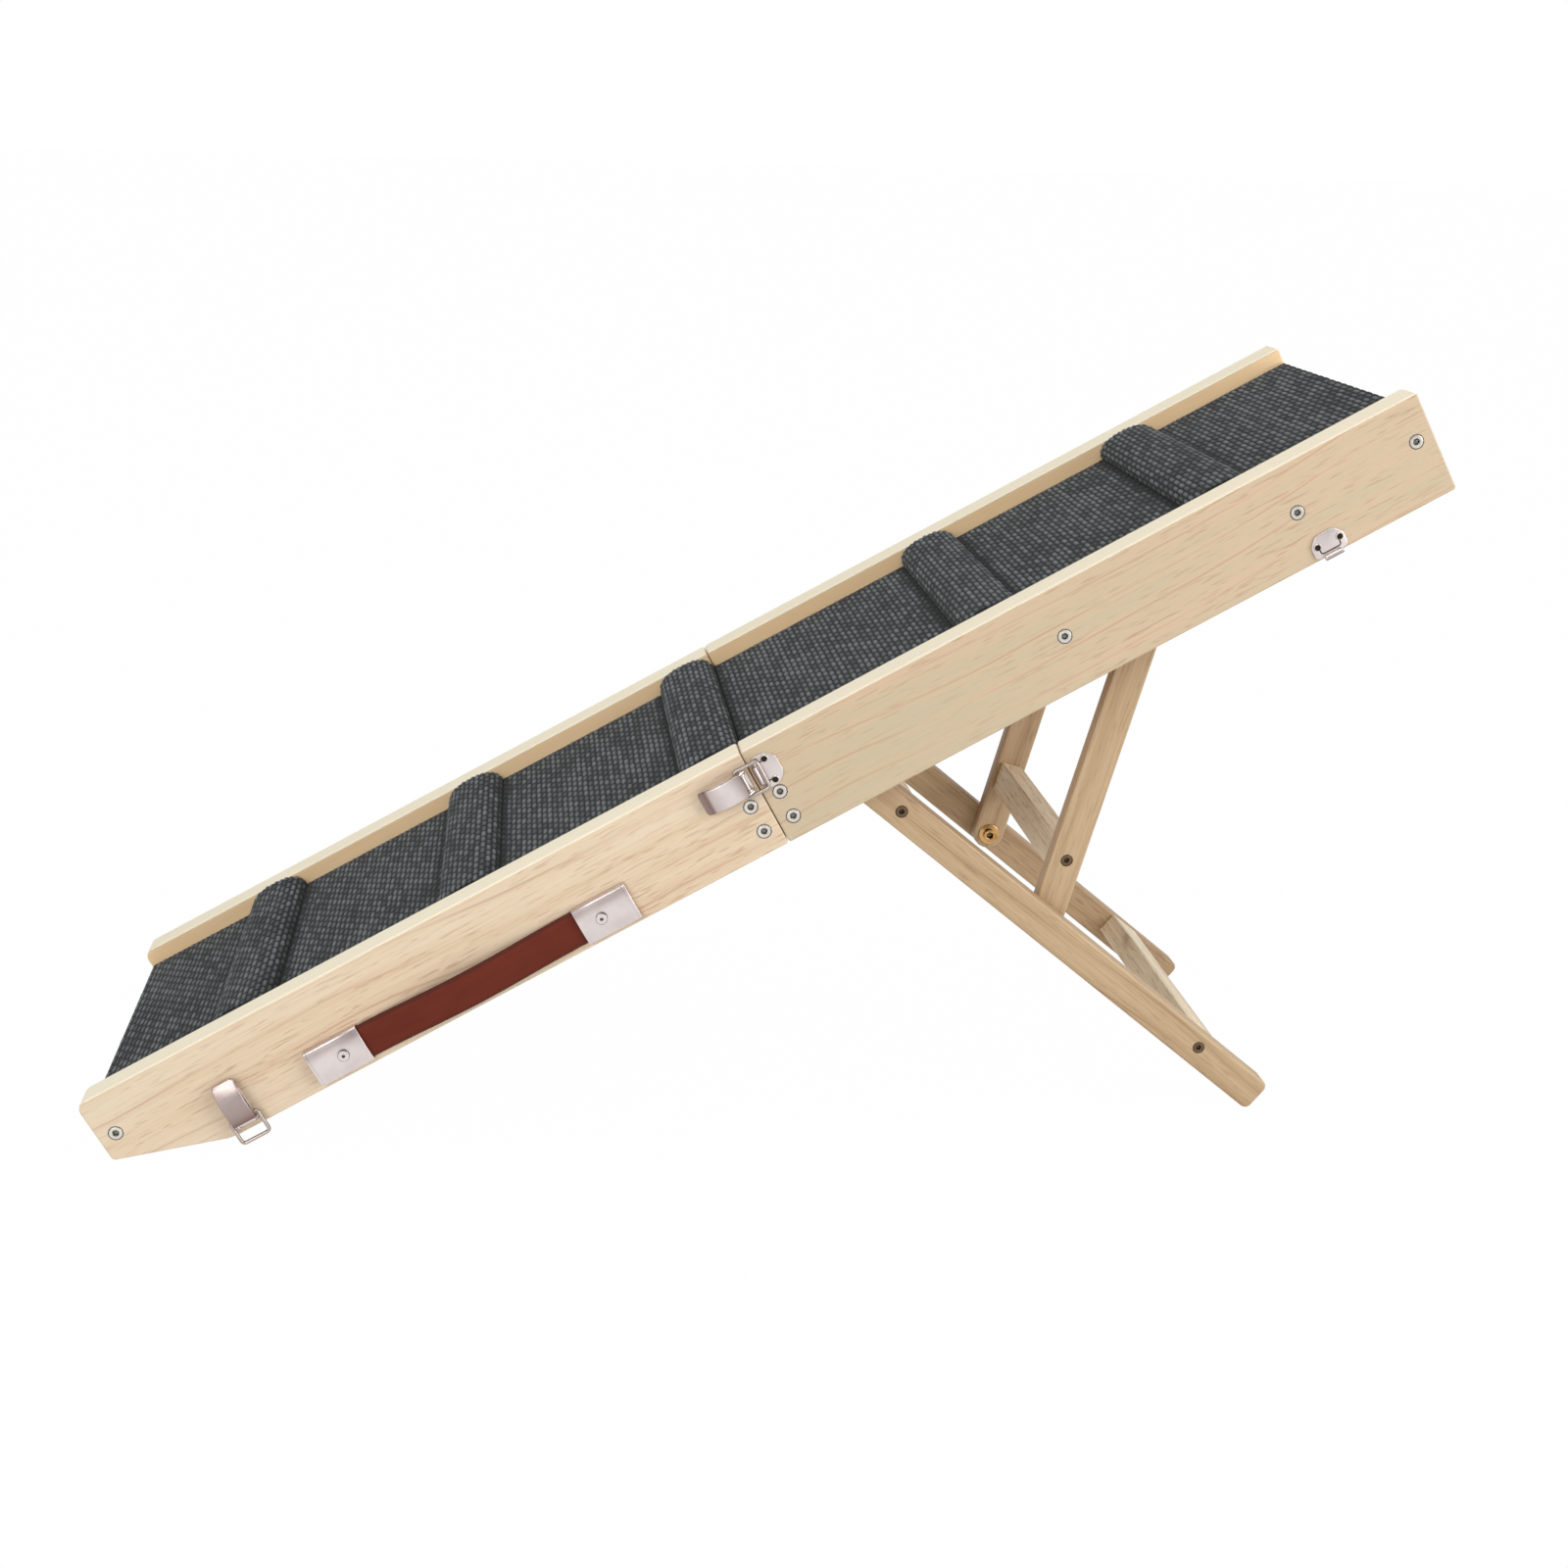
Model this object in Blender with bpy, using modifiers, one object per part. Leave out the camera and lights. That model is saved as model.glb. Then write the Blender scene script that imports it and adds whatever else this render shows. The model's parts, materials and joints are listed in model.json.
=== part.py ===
"""Folding dog ramp: two hinged wooden sections with carpeted cleats, a folding leg frame, a prop strut
frame that rests in toothed racks, four draw latches and a carrying handle.

Everything is placed in the ramp frame: x runs up the ramp from its lower end, y runs across it from the near
side to the far side with 0 in the middle, and z is square to the ramp from the bottom edge of its boards. The
ramp frame itself is tilted so that the lower end and the feet stand on the floor.
"""

import math

import bmesh
import bpy
from mathutils import Matrix, Vector

MM = 0.001

# Clearances
SEAT_GAP = 0.3 * MM
SLIDE_GAP = 0.5 * MM
FLAT_ANGLE = math.radians(0.5)
EASED_ANGLE = math.radians(40)
SHARP_ANGLE = math.radians(35)

# Side boards
SECTION_LENGTH = 500 * MM
RAMP_WIDTH = 290 * MM
BOARD_THICKNESS = 24 * MM
BOARD_HEIGHT = 72 * MM
TOE_LENGTH = 76.4 * MM
TOE_HEIGHT = 25.7 * MM
TOE_RADIUS = 3 * MM
TOE_BEND_RADIUS = 20 * MM
NOSE_RADIUS = 7 * MM
BOARD_CORNER_RADIUS = 1.5 * MM
BOARD_EASE = 1.8 * MM

# Deck and carpet
CARPET_DEPTH = 12 * MM
CARPET_THICKNESS = 3.7 * MM
CARPET_EASE = 0.9 * MM
DECK_THICKNESS = 5 * MM
DECK_INSET = 1.5 * MM

# Cleats
CLEAT_WIDTH = 45 * MM
CLEAT_HEIGHT = 11.2 * MM
CLEAT_FIRST = 117 * MM
CLEAT_PITCH = 174 * MM
CLEAT_JOINT_INSET = 23 * MM
UPPER_CLEAT_FIRST = 189 * MM
CLEAT_DOWNHILL_RADIUS = 5 * MM
CLEAT_UPHILL_RADIUS = 9 * MM
CLEAT_FOOT_RADIUS = 0.8 * MM

# Bars between the boards
BAR_WIDTH = 20 * MM
END_BAR_CENTRE = 12.5 * MM
END_BAR_HEIGHT = 19.7 * MM
JOINT_BAR_WIDTH = 18.6 * MM
JOINT_BAR_FOOT = 4.5 * MM
MID_BAR_CENTRES = (225 * MM, 397.6 * MM)
MID_BAR_HEIGHT = 23.7 * MM
BAR_EASE = 0.8 * MM

# Socket-head screws of the boards
BOARD_SCREW_HEAD_RADIUS = 5 * MM
BOARD_SCREW_HEAD_DEPTH = 3 * MM
BOARD_SCREW_SHANK_RADIUS = 2.4 * MM
BOARD_SOCKET = 4 * MM
END_SCREW_HEIGHT = 42 * MM
MID_SCREW_HEIGHT = 37.3 * MM
JOINT_SCREW_HEIGHTS = (15.5 * MM, 35 * MM)
SCREW_RECESS = 0.2 * MM

# Hinges
HINGE_AXIS_DROP = 0.5 * MM
HINGE_LENGTH = 50 * MM
HINGE_CENTRE = 70 * MM
LEAF_THICKNESS = 1.1 * MM
LEAF_FOOT = 4.3 * MM
LEAF_HEIGHT = 31.7 * MM
TONGUE_INSET = 0.3 * MM
BARREL_RADIUS = 4 * MM
PIN_RADIUS = 1.6 * MM
PIN_HEAD_RADIUS = 2.6 * MM
PIN_HEAD_LENGTH = 0.8 * MM
HINGE_SCREW_SPREAD = 15 * MM
HINGE_SCREW_SETBACK = 8 * MM
HINGE_HOLE_RADIUS = 2 * MM

# Leg frame
LEG_PIVOT_X = 55 * MM
LEG_PIVOT_Z = 24.8 * MM
LEG_ANGLE = math.radians(-68.2)
LEG_LENGTH = 406 * MM
LEG_WIDTH = 24 * MM
LEG_THICKNESS = 18 * MM
FOOT_RADIUS = 5 * MM
LEG_EASE = 1.5 * MM
LEG_BAR_ALONG = 25 * MM
LEG_BAR_DEPTH = 17 * MM
LEG_UPPER_BAR_AT = 56.2 * MM
LEG_LOWER_BAR_AT = 343.4 * MM

# Strut frame
STRUT_PIVOT_AT = 198.4 * MM
STRUT_ANGLE = math.radians(46.1)
STRUT_LENGTH = 231.6 * MM
STRUT_WIDTH = 24 * MM
STRUT_THICKNESS = 12 * MM
STRUT_BAR_AT = 48 * MM
STRUT_BAR_ALONG = 23 * MM
STRUT_BAR_DEPTH = 17 * MM
PROP_BAR_RADIUS = 6 * MM

# Screws and pivot bolts of the frames
FRAME_SCREW_HEAD_RADIUS = 4.25 * MM
FRAME_SCREW_HEAD_DEPTH = 2.5 * MM
FRAME_SCREW_SHANK_RADIUS = 2 * MM
FRAME_SOCKET = 3.4 * MM
FRAME_SCREW_RECESS = 0.7 * MM
BOLT_RADIUS = 3 * MM
BOLT_HEAD_RADIUS = 5 * MM
BOLT_HEAD_DEPTH = 3.2 * MM
BOLT_SOCKET = 5 * MM
WASHER_RADIUS = 8 * MM
WASHER_THICKNESS = 1 * MM
BOLT_BITE = 14 * MM

# All headed fasteners: how deep a socket is and how far a shank runs up, as shares of the head's depth
SOCKET_SHARE = 0.6
SHANK_OVERLAP_SHARE = 0.1
SCREW_GRIP = 1.2 * MM
HOLE_COVER = 2 * MM

# Toothed racks
RACK_THICKNESS = 14 * MM
RACK_INSET = 2 * MM
RACK_TOOTH_DEPTH = 2.8 * MM
RACK_PITCH = 35 * MM
RACK_SEATS_BELOW = 1
RACK_SEATS_ABOVE = 2
RACK_RAMP_SLOPE = 0.125
RACK_OVERHANG = 9 * MM

# Draw latches, measured along the pull, across it and out from the board
LATCH_CENTRE_HEIGHT = 53 * MM
LATCH_CENTRE_SETBACK = 6 * MM
LATCH_END_CENTRE = 92 * MM
LATCH_END_HEIGHT = 7.5 * MM
PLATE_THICKNESS = 1.2 * MM
FOLD_INSET = 0.2 * MM
LATCH_PIVOT_HEIGHT = 4.6 * MM
LATCH_PIVOT_RADIUS = 1.2 * MM
LATCH_BASE_LENGTH = 30 * MM
LATCH_BASE_WIDTH = 13.8 * MM
LATCH_BASE_TAIL_RADIUS = 4 * MM
LATCH_BASE_FRONT_RADIUS = 1 * MM
LATCH_EAR_RADIUS = 2.4 * MM
LATCH_EAR_FOOT = 3 * MM
LEVER_FLANGE_RADIUS = 2.8 * MM
LATCH_BASE_SCREWS = (10 * MM, 20 * MM)
LEVER_WIDTH = 17 * MM
LEVER_LENGTH = 32 * MM
LEVER_FRONT = 1 * MM
LEVER_NEAR_HEIGHT = 8.6 * MM
LEVER_CROWN_HEIGHT = 10 * MM
LEVER_TIP_HEIGHT = 4.8 * MM
LEVER_CROWN_SHARE = 0.38
LEVER_FLANGE_LENGTH = 10 * MM
BAIL_THROW = 4 * MM
BAIL_REACH = 13.2 * MM
BAIL_WIRE_RADIUS = 1.5 * MM
BAIL_CORNER_RADIUS = 2.6 * MM
BAIL_BEND_RADIUS = 1.8 * MM
CATCH_LENGTH = 16 * MM
CATCH_WIDTH = 24 * MM
CATCH_LIP_WIDTH = 13 * MM
CATCH_LIP_HEIGHT = 5.6 * MM
CATCH_LIP_FOOT_RADIUS = 0.06 * MM
CATCH_LIP_TIP_RADIUS = 0.54 * MM
CATCH_CORNER_RADIUS = 3 * MM
CATCH_BOW_RADIUS = 6 * MM
CATCH_WAIST_SHARE = 0.62
CATCH_BOW_SHARE = 0.55
CATCH_SCREW_SETBACK = 8.4 * MM
CATCH_SCREW_SPREAD = 8.2 * MM

# Small screws of the latches
SMALL_HEAD_RADIUS = 2.7 * MM
SMALL_HEAD_DEPTH = 1.5 * MM

# Handle
HANDLE_START = 148 * MM
HANDLE_LENGTH = 243 * MM
HANDLE_HEIGHT = 17.5 * MM
CAP_LENGTH = 40 * MM
CAP_WIDTH = 27.5 * MM
CAP_WALL = 1.2 * MM
CAP_CROWN = 1.2 * MM
CAP_EASE = 0.5 * MM
STRAP_WIDTH = 24.5 * MM
STRAP_THICKNESS = 3.5 * MM
STRAP_BOW = 5.2 * MM
STRAP_EASE = 0.9 * MM
HANDLE_SCREW_AT = 24 * MM
HANDLE_HEAD_RADIUS = 4.25 * MM
HANDLE_HEAD_DEPTH = 2 * MM
HANDLE_SHANK_RADIUS = 2 * MM
HANDLE_SOCKET = 3 * MM
HANDLE_SCREW_LENGTH = 22 * MM

# The exact solver leaves open edges round the small holes of thin plates and eased boards
BOOLEAN_SOLVER = "MANIFOLD"

# How finely round shapes are cut
ARC_STEPS = 4
ARC_FINENESS = 1.5 * MM
HEAD_SIDES = 12
SHANK_SIDES = 8
BARREL_SIDES = 12
RACK_ARC_STEPS = 4
LATCH_ARC_STEPS = 3
BAIL_BEND_STEPS = 2
BAIL_WIRE_FINENESS = 3
LEVER_STEPS = 9
STRAP_STEPS = 16
CAP_STEPS = 8
PROP_SIDES = 16

NEAR, FAR = -1, 1
SIDES = {"near": NEAR, "far": FAR}

# Places worked out from the sizes above
INNER_FACE = RAMP_WIDTH / 2 - BOARD_THICKNESS
BAR_REACH = INNER_FACE - SEAT_GAP
RAMP_LENGTH = 2 * SECTION_LENGTH
CARPET_TOP = BOARD_HEIGHT - CARPET_DEPTH
DECK_TOP = CARPET_TOP - CARPET_THICKNESS - SEAT_GAP
DECK_FOOT = DECK_TOP - DECK_THICKNESS
BAR_TOP = DECK_FOOT - SEAT_GAP
FOLD_AXIS = Vector((SECTION_LENGTH, 0, -HINGE_AXIS_DROP))
JOINT_BAR_CENTRE = SEAT_GAP + LEAF_THICKNESS + SEAT_GAP + JOINT_BAR_WIDTH / 2
LEG_OUTER = INNER_FACE - SLIDE_GAP
LEG_INNER = LEG_OUTER - LEG_THICKNESS
STRUT_OUTER = LEG_INNER - SLIDE_GAP
STRUT_INNER = STRUT_OUTER - STRUT_THICKNESS
RACK_OUTER = STRUT_INNER - RACK_INSET
BOARD_FACE = RAMP_WIDTH / 2
LATCH_WIRE_SPAN = LEVER_WIDTH / 2 + SEAT_GAP + BAIL_WIRE_RADIUS
CATCH_START = BAIL_REACH - BAIL_WIRE_RADIUS - SEAT_GAP - PLATE_THICKNESS - FOLD_INSET
CATCH_SCREW_AT = CATCH_START + CATCH_SCREW_SETBACK
MID_BARS = [SECTION_LENGTH + centre for centre in MID_BAR_CENTRES]


def along(angle):
    """The unit vector at this angle in the x-z plane, turning from +x to +z."""
    return Vector((math.cos(angle), 0, math.sin(angle)))


LEG_PIVOT = Vector((SECTION_LENGTH + LEG_PIVOT_X, 0, LEG_PIVOT_Z))
STRUT_PIVOT = LEG_PIVOT + STRUT_PIVOT_AT * along(LEG_ANGLE)
PROP_SEAT = STRUT_PIVOT + STRUT_LENGTH * along(STRUT_ANGLE)


# Outlines

def corner_centre(before, corner, after, radius):
    """The centre of the circle of this radius that touches both sides of a corner from inside."""
    back = (Vector(before) - Vector(corner)).normalized()
    ahead = (Vector(after) - Vector(corner)).normalized()
    half = back.angle(ahead) / 2
    return Vector(corner) + (back + ahead).normalized() * (radius / math.sin(half))


def rounded(corners, radii, steps=ARC_STEPS):
    """The outline through these corners, anticlockwise, each rounded by its own radius."""
    outline = []
    count = len(corners)
    for index, (corner, radius) in enumerate(zip(corners, radii)):
        before, after = corners[index - 1], corners[(index + 1) % count]
        centre = corner_centre(before, corner, after, radius)
        come = (Vector(corner) - Vector(before)).normalized()
        turn = (Vector(after) - Vector(corner)).angle(come)
        start = math.atan2(come.y, come.x) - math.pi / 2
        finest = min(steps, 1 + round(radius / ARC_FINENESS))
        arcs = max(1, round(finest * turn / (math.pi / 2)))
        outline += arc(centre, radius, start, start + turn, arcs)
    return distinct(outline)


def distinct(outline, least=0.01 * MM):
    """The outline without points that repeat the one before."""
    return [point for k, point in enumerate(outline) if math.dist(point, outline[k - 1]) > least]


def rectangle(low, high):
    return [(low[0], low[1]), (high[0], low[1]), (high[0], high[1]), (low[0], high[1])]


def arc(centre, radius, start, end, steps):
    """Points on an arc from one angle to another, both ends included."""
    angles = [start + (end - start) * step / steps for step in range(steps + 1)]
    return [(centre[0] + radius * math.cos(a), centre[1] + radius * math.sin(a)) for a in angles]


# Materials, collections and frames

def material(name, colour, roughness, metallic=0.0):
    made = bpy.data.materials.new(name)
    made.use_nodes = True
    shader = made.node_tree.nodes["Principled BSDF"]
    shader.inputs["Base Color"].default_value = (*colour, 1)
    shader.inputs["Roughness"].default_value = roughness
    shader.inputs["Metallic"].default_value = metallic
    return made


def pine(name):
    return material(name, (0.74, 0.60, 0.42), 0.55)


def pine_frame(name):
    return material(name, (0.66, 0.49, 0.31), 0.55)


def plywood(name):
    return material(name, (0.60, 0.45, 0.28), 0.65)


def carpet(name):
    return material(name, (0.045, 0.048, 0.052), 0.95)


def nickel(name):
    return material(name, (0.62, 0.58, 0.57), 0.32, 1.0)


def brass(name):
    return material(name, (0.62, 0.42, 0.20), 0.35, 1.0)


def leather(name):
    return material(name, (0.16, 0.03, 0.018), 0.6)


def new_collection(name):
    made = bpy.data.collections.new(name)
    bpy.context.scene.collection.children.link(made)
    return made


class Frame:
    """A body's empty, with the place of its joint in the ramp frame."""

    def __init__(self, name, place, parent, parts):
        self.place = Vector(place)
        self.parts = parts
        self.empty = bpy.data.objects.new(name, None)
        parts.objects.link(self.empty)
        if parent is not None:
            self.empty.parent = parent.empty
            self.empty.location = self.place - parent.place

    def take(self, obj):
        """Parents an object whose mesh is drawn in the ramp frame."""
        obj.parent = self.empty
        obj.location = -self.place
        return obj


# Meshes

def object_of(name, mesh, collection):
    obj = bpy.data.objects.new(name, mesh)
    collection.objects.link(obj)
    return obj


def evaluated_mesh(obj):
    """The mesh of an object with its modifiers applied; the object is removed."""
    bpy.context.view_layer.update()
    graph = bpy.context.evaluated_depsgraph_get()
    mesh = bpy.data.meshes.new_from_object(obj.evaluated_get(graph))
    bpy.data.objects.remove(obj)
    return mesh


def tidied(mesh, weld=0.0001 * MM):
    """Welds loose caps and dissolves the flat triangles that a filled curve leaves."""
    work = bmesh.new()
    work.from_mesh(mesh)
    bmesh.ops.remove_doubles(work, verts=work.verts, dist=weld)
    bmesh.ops.dissolve_limit(work, angle_limit=FLAT_ANGLE, verts=work.verts, edges=work.edges)
    bmesh.ops.recalc_face_normals(work, faces=work.faces)
    work.to_mesh(mesh)
    work.free()
    return mesh


def box_mesh(low, high):
    low, high = Vector(low), Vector(high)
    work = bmesh.new()
    bmesh.ops.create_cube(work, size=1)
    bmesh.ops.scale(work, vec=high - low, verts=work.verts)
    bmesh.ops.translate(work, vec=(low + high) / 2, verts=work.verts)
    mesh = bpy.data.meshes.new("box")
    work.to_mesh(mesh)
    work.free()
    return mesh


def rod_mesh(start, end, radius, sides):
    """A solid rod between two points."""
    start, end = Vector(start), Vector(end)
    turn = (end - start).to_track_quat("Z", "Y").to_matrix().to_4x4()
    work = bmesh.new()
    bmesh.ops.create_cone(work, cap_ends=True, segments=sides, radius1=radius, radius2=radius,
                          depth=(end - start).length)
    bmesh.ops.transform(work, matrix=Matrix.Translation((start + end) / 2) @ turn, verts=work.verts)
    mesh = bpy.data.meshes.new("rod")
    work.to_mesh(mesh)
    work.free()
    return mesh


def plate_mesh(outline, low, high, matrix):
    """A flat outline, extruded from low to high and then moved by the matrix."""
    curve = bpy.data.curves.new("outline", "CURVE")
    curve.dimensions = "2D"
    curve.fill_mode = "BOTH"
    curve.extrude = (high - low) / 2
    spline = curve.splines.new("POLY")
    spline.points.add(len(outline) - 1)
    for point, (x, y) in zip(spline.points, outline):
        point.co = (x, y, 0, 1)
    spline.use_cyclic_u = True
    mesh = tidied(evaluated_mesh(object_of("outline", curve, bpy.context.scene.collection)))
    mesh.transform(matrix @ Matrix.Translation((0, 0, (low + high) / 2)))
    return mesh


def frame_matrix(first, second, origin=(0, 0, 0)):
    """Maps X to the first direction, Y to the second and Z to their cross product, at the origin."""
    first, second = Vector(first), Vector(second)
    turn = Matrix((first, second, first.cross(second))).transposed().to_4x4()
    return Matrix.Translation(origin) @ turn


def side_view():
    """For outlines drawn in x and z: thickness runs along -y."""
    return frame_matrix((1, 0, 0), (0, 0, 1))


def member_view(pivot, angle):
    """For outlines drawn along and across a leg or strut from its pivot."""
    return frame_matrix(along(angle), along(angle + math.pi / 2), pivot)


def turned_mesh(profile, sides):
    """A solid turned round Z from (radius, height) points that run down its outer side."""
    mesh = bpy.data.meshes.new("profile")
    points = [(radius, 0, height) for radius, height in profile]
    mesh.from_pydata(points, [(k, k + 1) for k in range(len(points) - 1)], [])
    obj = object_of("profile", mesh, bpy.context.scene.collection)
    spin = obj.modifiers.new("spin", "SCREW")
    spin.steps = sides
    spin.render_steps = sides
    spin.use_merge_vertices = True
    spin.merge_threshold = 1e-6
    return evaluated_mesh(obj)


def joined_mesh(meshes):
    """One mesh that holds these meshes as separate solids."""
    work = bmesh.new()
    for mesh in meshes:
        work.from_mesh(mesh)
    made = bpy.data.meshes.new("joined")
    work.to_mesh(made)
    work.free()
    return made


def moved(mesh, matrix):
    copy = mesh.copy()
    copy.transform(matrix)
    return copy


# Modifiers

def add_bevel(obj, width, segments=2):
    bevel = obj.modifiers.new("ease", "BEVEL")
    bevel.width = width
    bevel.segments = segments
    bevel.limit_method = "ANGLE"
    bevel.angle_limit = EASED_ANGLE
    return obj


def add_boolean(obj, other, operation="DIFFERENCE"):
    cut = obj.modifiers.new(operation.lower(), "BOOLEAN")
    cut.operation = operation
    cut.solver = BOOLEAN_SOLVER
    cut.object = other
    return obj


def smooth(mesh):
    """Shades round faces smooth and keeps their sharper edges."""
    mesh.shade_smooth()
    mesh.set_sharp_from_angle(angle=SHARP_ANGLE)


class Ramp:
    """The collections and body frames that the pieces are added to."""

    def __init__(self):
        self.parts = new_collection("folding_dog_ramp")
        self.cutters = new_collection("folding_dog_ramp_cutters")
        self.frames = {}
        self.pieces = {}

    def body(self, name, place=(0, 0, 0), parent=None):
        self.frames[name] = Frame(name, place, self.frames.get(parent), self.parts)
        return self.frames[name]

    def piece(self, name, mesh, body, finish):
        """Adds one named sub-part, drawn in the ramp frame, with its own material."""
        mesh.name = name
        smooth(mesh)
        obj = self.frames[body].take(object_of(name, mesh, self.parts))
        mesh.materials.clear()
        mesh.materials.append(finish(name))
        self.pieces[name] = obj
        return obj

    def tool(self, name, mesh, body):
        """Adds a cutter or a shape to be joined on, which is no sub-part itself."""
        obj = self.frames[body].take(object_of(name, mesh, self.cutters))
        obj.hide_render = True
        obj.display_type = "WIRE"
        return obj

    def cut(self, names, mesh, body):
        """Cuts one tool out of each named piece."""
        tool = self.tool(f"{names[0]}_cutter", mesh, body)
        for name in names:
            add_boolean(self.pieces[name], tool)

    def join(self, name, mesh, body):
        add_boolean(self.pieces[name], self.tool(f"{name}_addition", mesh, body), "UNION")


# Fasteners

def fastener_mesh(head, shank, washer=None, wider=0.0, deeper=0.0, cover=0.0):
    """A headed fastener from its top at height 0, or with the last three values the hole that it needs."""
    head_radius, foot = head[0] + wider, -head[1]
    profile = [(0, cover), (head_radius, cover)]
    if washer is not None:
        profile += [(head_radius, foot), (washer[0] + wider, foot)]
        head_radius, foot = washer[0] + wider, foot - washer[1]
    profile += [(head_radius, foot - deeper), (0, foot - deeper)]
    radius, length = shank
    top = foot - deeper + head[1] * SHANK_OVERLAP_SHARE
    scene = bpy.context.scene.collection
    obj = object_of("headed", turned_mesh(profile, HEAD_SIDES), scene)
    shank_mesh = rod_mesh((0, 0, -length - wider), (0, 0, top), radius + wider, SHANK_SIDES)
    rod = object_of("shank", shank_mesh, scene)
    add_boolean(obj, rod, "UNION")
    made = evaluated_mesh(obj)
    bpy.data.objects.remove(rod)
    return made


def socketed(mesh, across, depth):
    """Cuts a hexagon socket into the top of a fastener that stands at height 0."""
    scene = bpy.context.scene.collection
    obj = object_of("headed", mesh, scene)
    key = object_of("key", rod_mesh((0, 0, -depth), (0, 0, depth), across / math.sqrt(3), 6), scene)
    add_boolean(obj, key)
    made = evaluated_mesh(obj)
    bpy.data.objects.remove(key)
    return made


def aimed(place, out):
    """Puts a fastener's top at a place with its head facing out."""
    return Matrix.Translation(place) @ Vector(out).to_track_quat("Z", "Y").to_matrix().to_4x4()


def seat_fastener(ramp, name, body, spot, fastener, hole, pieces, finish):
    """Adds one fastener as its own sub-part and cuts its hole in the pieces."""
    ramp.piece(name, moved(fastener, spot), body, finish)
    ramp.cut(pieces, moved(hole, spot), body)


def bite(ramp, bar, body, spots, fastener, hole, pieces):
    """Drives screws into a bar, whose wood grips their threads, through holes in the pieces."""
    ramp.join(bar, joined_mesh([moved(fastener, spot) for spot in spots]), body)
    ramp.cut(pieces, joined_mesh([moved(hole, spot) for spot in spots]), body)


def through_screw(head_radius, head_depth, shank_radius, thickness, socket):
    """A socket screw that passes a board of this thickness into a bar, and the hole that it needs."""
    head, shank = (head_radius, head_depth), (shank_radius, thickness + SCREW_GRIP)
    screw = socketed(fastener_mesh(head, shank), socket, head_depth * SOCKET_SHARE)
    hole = fastener_mesh(head, shank, wider=SEAT_GAP, deeper=SEAT_GAP, cover=HOLE_COVER)
    return screw, hole


def outward_spots(x, z, top):
    """A fastener's places on both outer faces, its head facing out."""
    return [aimed((x, side * top, z), (0, side, 0)) for side in (NEAR, FAR)]


# Ramp sections

def board_outline(section):
    """The lower board has a sloped toe and a round nose; the upper one is square."""
    if section == "lower":
        end = SECTION_LENGTH - SEAT_GAP
        corners = [(0, TOE_HEIGHT), (TOE_LENGTH, 0), (end, 0), (end, BOARD_HEIGHT), (0, BOARD_HEIGHT)]
        radii = [TOE_RADIUS, TOE_BEND_RADIUS, BOARD_CORNER_RADIUS, BOARD_CORNER_RADIUS, NOSE_RADIUS]
        return corners, radii
    corners = rectangle((SECTION_LENGTH + SEAT_GAP, 0), (RAMP_LENGTH, BOARD_HEIGHT))
    return corners, [BOARD_CORNER_RADIUS] * 4


def add_boards(ramp, section):
    outline = rounded(*board_outline(section))
    for side, sign in SIDES.items():
        inner, outer = sorted((-sign * INNER_FACE, -sign * BOARD_FACE))
        mesh = plate_mesh(outline, inner, outer, side_view())
        board = ramp.piece(f"{section}_side_board_{side}", mesh, f"{section}_section", pine)
        add_bevel(board, BOARD_EASE)


def section_span(section):
    if section == "lower":
        return DECK_INSET, SECTION_LENGTH - SEAT_GAP
    return SECTION_LENGTH + SEAT_GAP, RAMP_LENGTH - DECK_INSET


def add_deck(ramp, section):
    """The thin deck panel and the carpet glued on it."""
    start, end = section_span(section)
    body = f"{section}_section"
    panel = box_mesh((start, -BAR_REACH, DECK_FOOT), (end, BAR_REACH, DECK_TOP))
    ramp.piece(f"{section}_deck_panel", panel, body, plywood)
    strip = box_mesh((start, -BAR_REACH, DECK_TOP + SEAT_GAP), (end, BAR_REACH, CARPET_TOP))
    add_bevel(ramp.piece(f"{section}_carpet", strip, body, carpet), CARPET_EASE, 1)


def cleat_centres():
    """Each section's cleats, with one that meets the joint at the head of the lower section."""
    lower = [CLEAT_FIRST, CLEAT_FIRST + CLEAT_PITCH, SECTION_LENGTH - CLEAT_JOINT_INSET]
    upper = [SECTION_LENGTH + UPPER_CLEAT_FIRST, SECTION_LENGTH + UPPER_CLEAT_FIRST + CLEAT_PITCH]
    return [("lower_section", at) for at in lower] + [("upper_section", at) for at in upper]


def add_cleats(ramp):
    half = CLEAT_WIDTH / 2
    radii = [CLEAT_FOOT_RADIUS, CLEAT_FOOT_RADIUS, CLEAT_UPHILL_RADIUS, CLEAT_DOWNHILL_RADIUS]
    foot = CARPET_TOP + SEAT_GAP
    for number, (body, centre) in enumerate(cleat_centres(), start=1):
        corners = rectangle((centre - half, foot), (centre + half, foot + CLEAT_HEIGHT))
        mesh = plate_mesh(rounded(corners, radii), -BAR_REACH, BAR_REACH, side_view())
        ramp.piece(f"cleat_{number}", mesh, body, carpet)


def add_bar(ramp, name, body, centre, width, foot):
    """A bar across the ramp between its boards, under the deck."""
    mesh = box_mesh((centre - width / 2, -BAR_REACH, foot), (centre + width / 2, BAR_REACH, BAR_TOP))
    add_bevel(ramp.piece(name, mesh, body, pine), BAR_EASE, 1)


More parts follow.
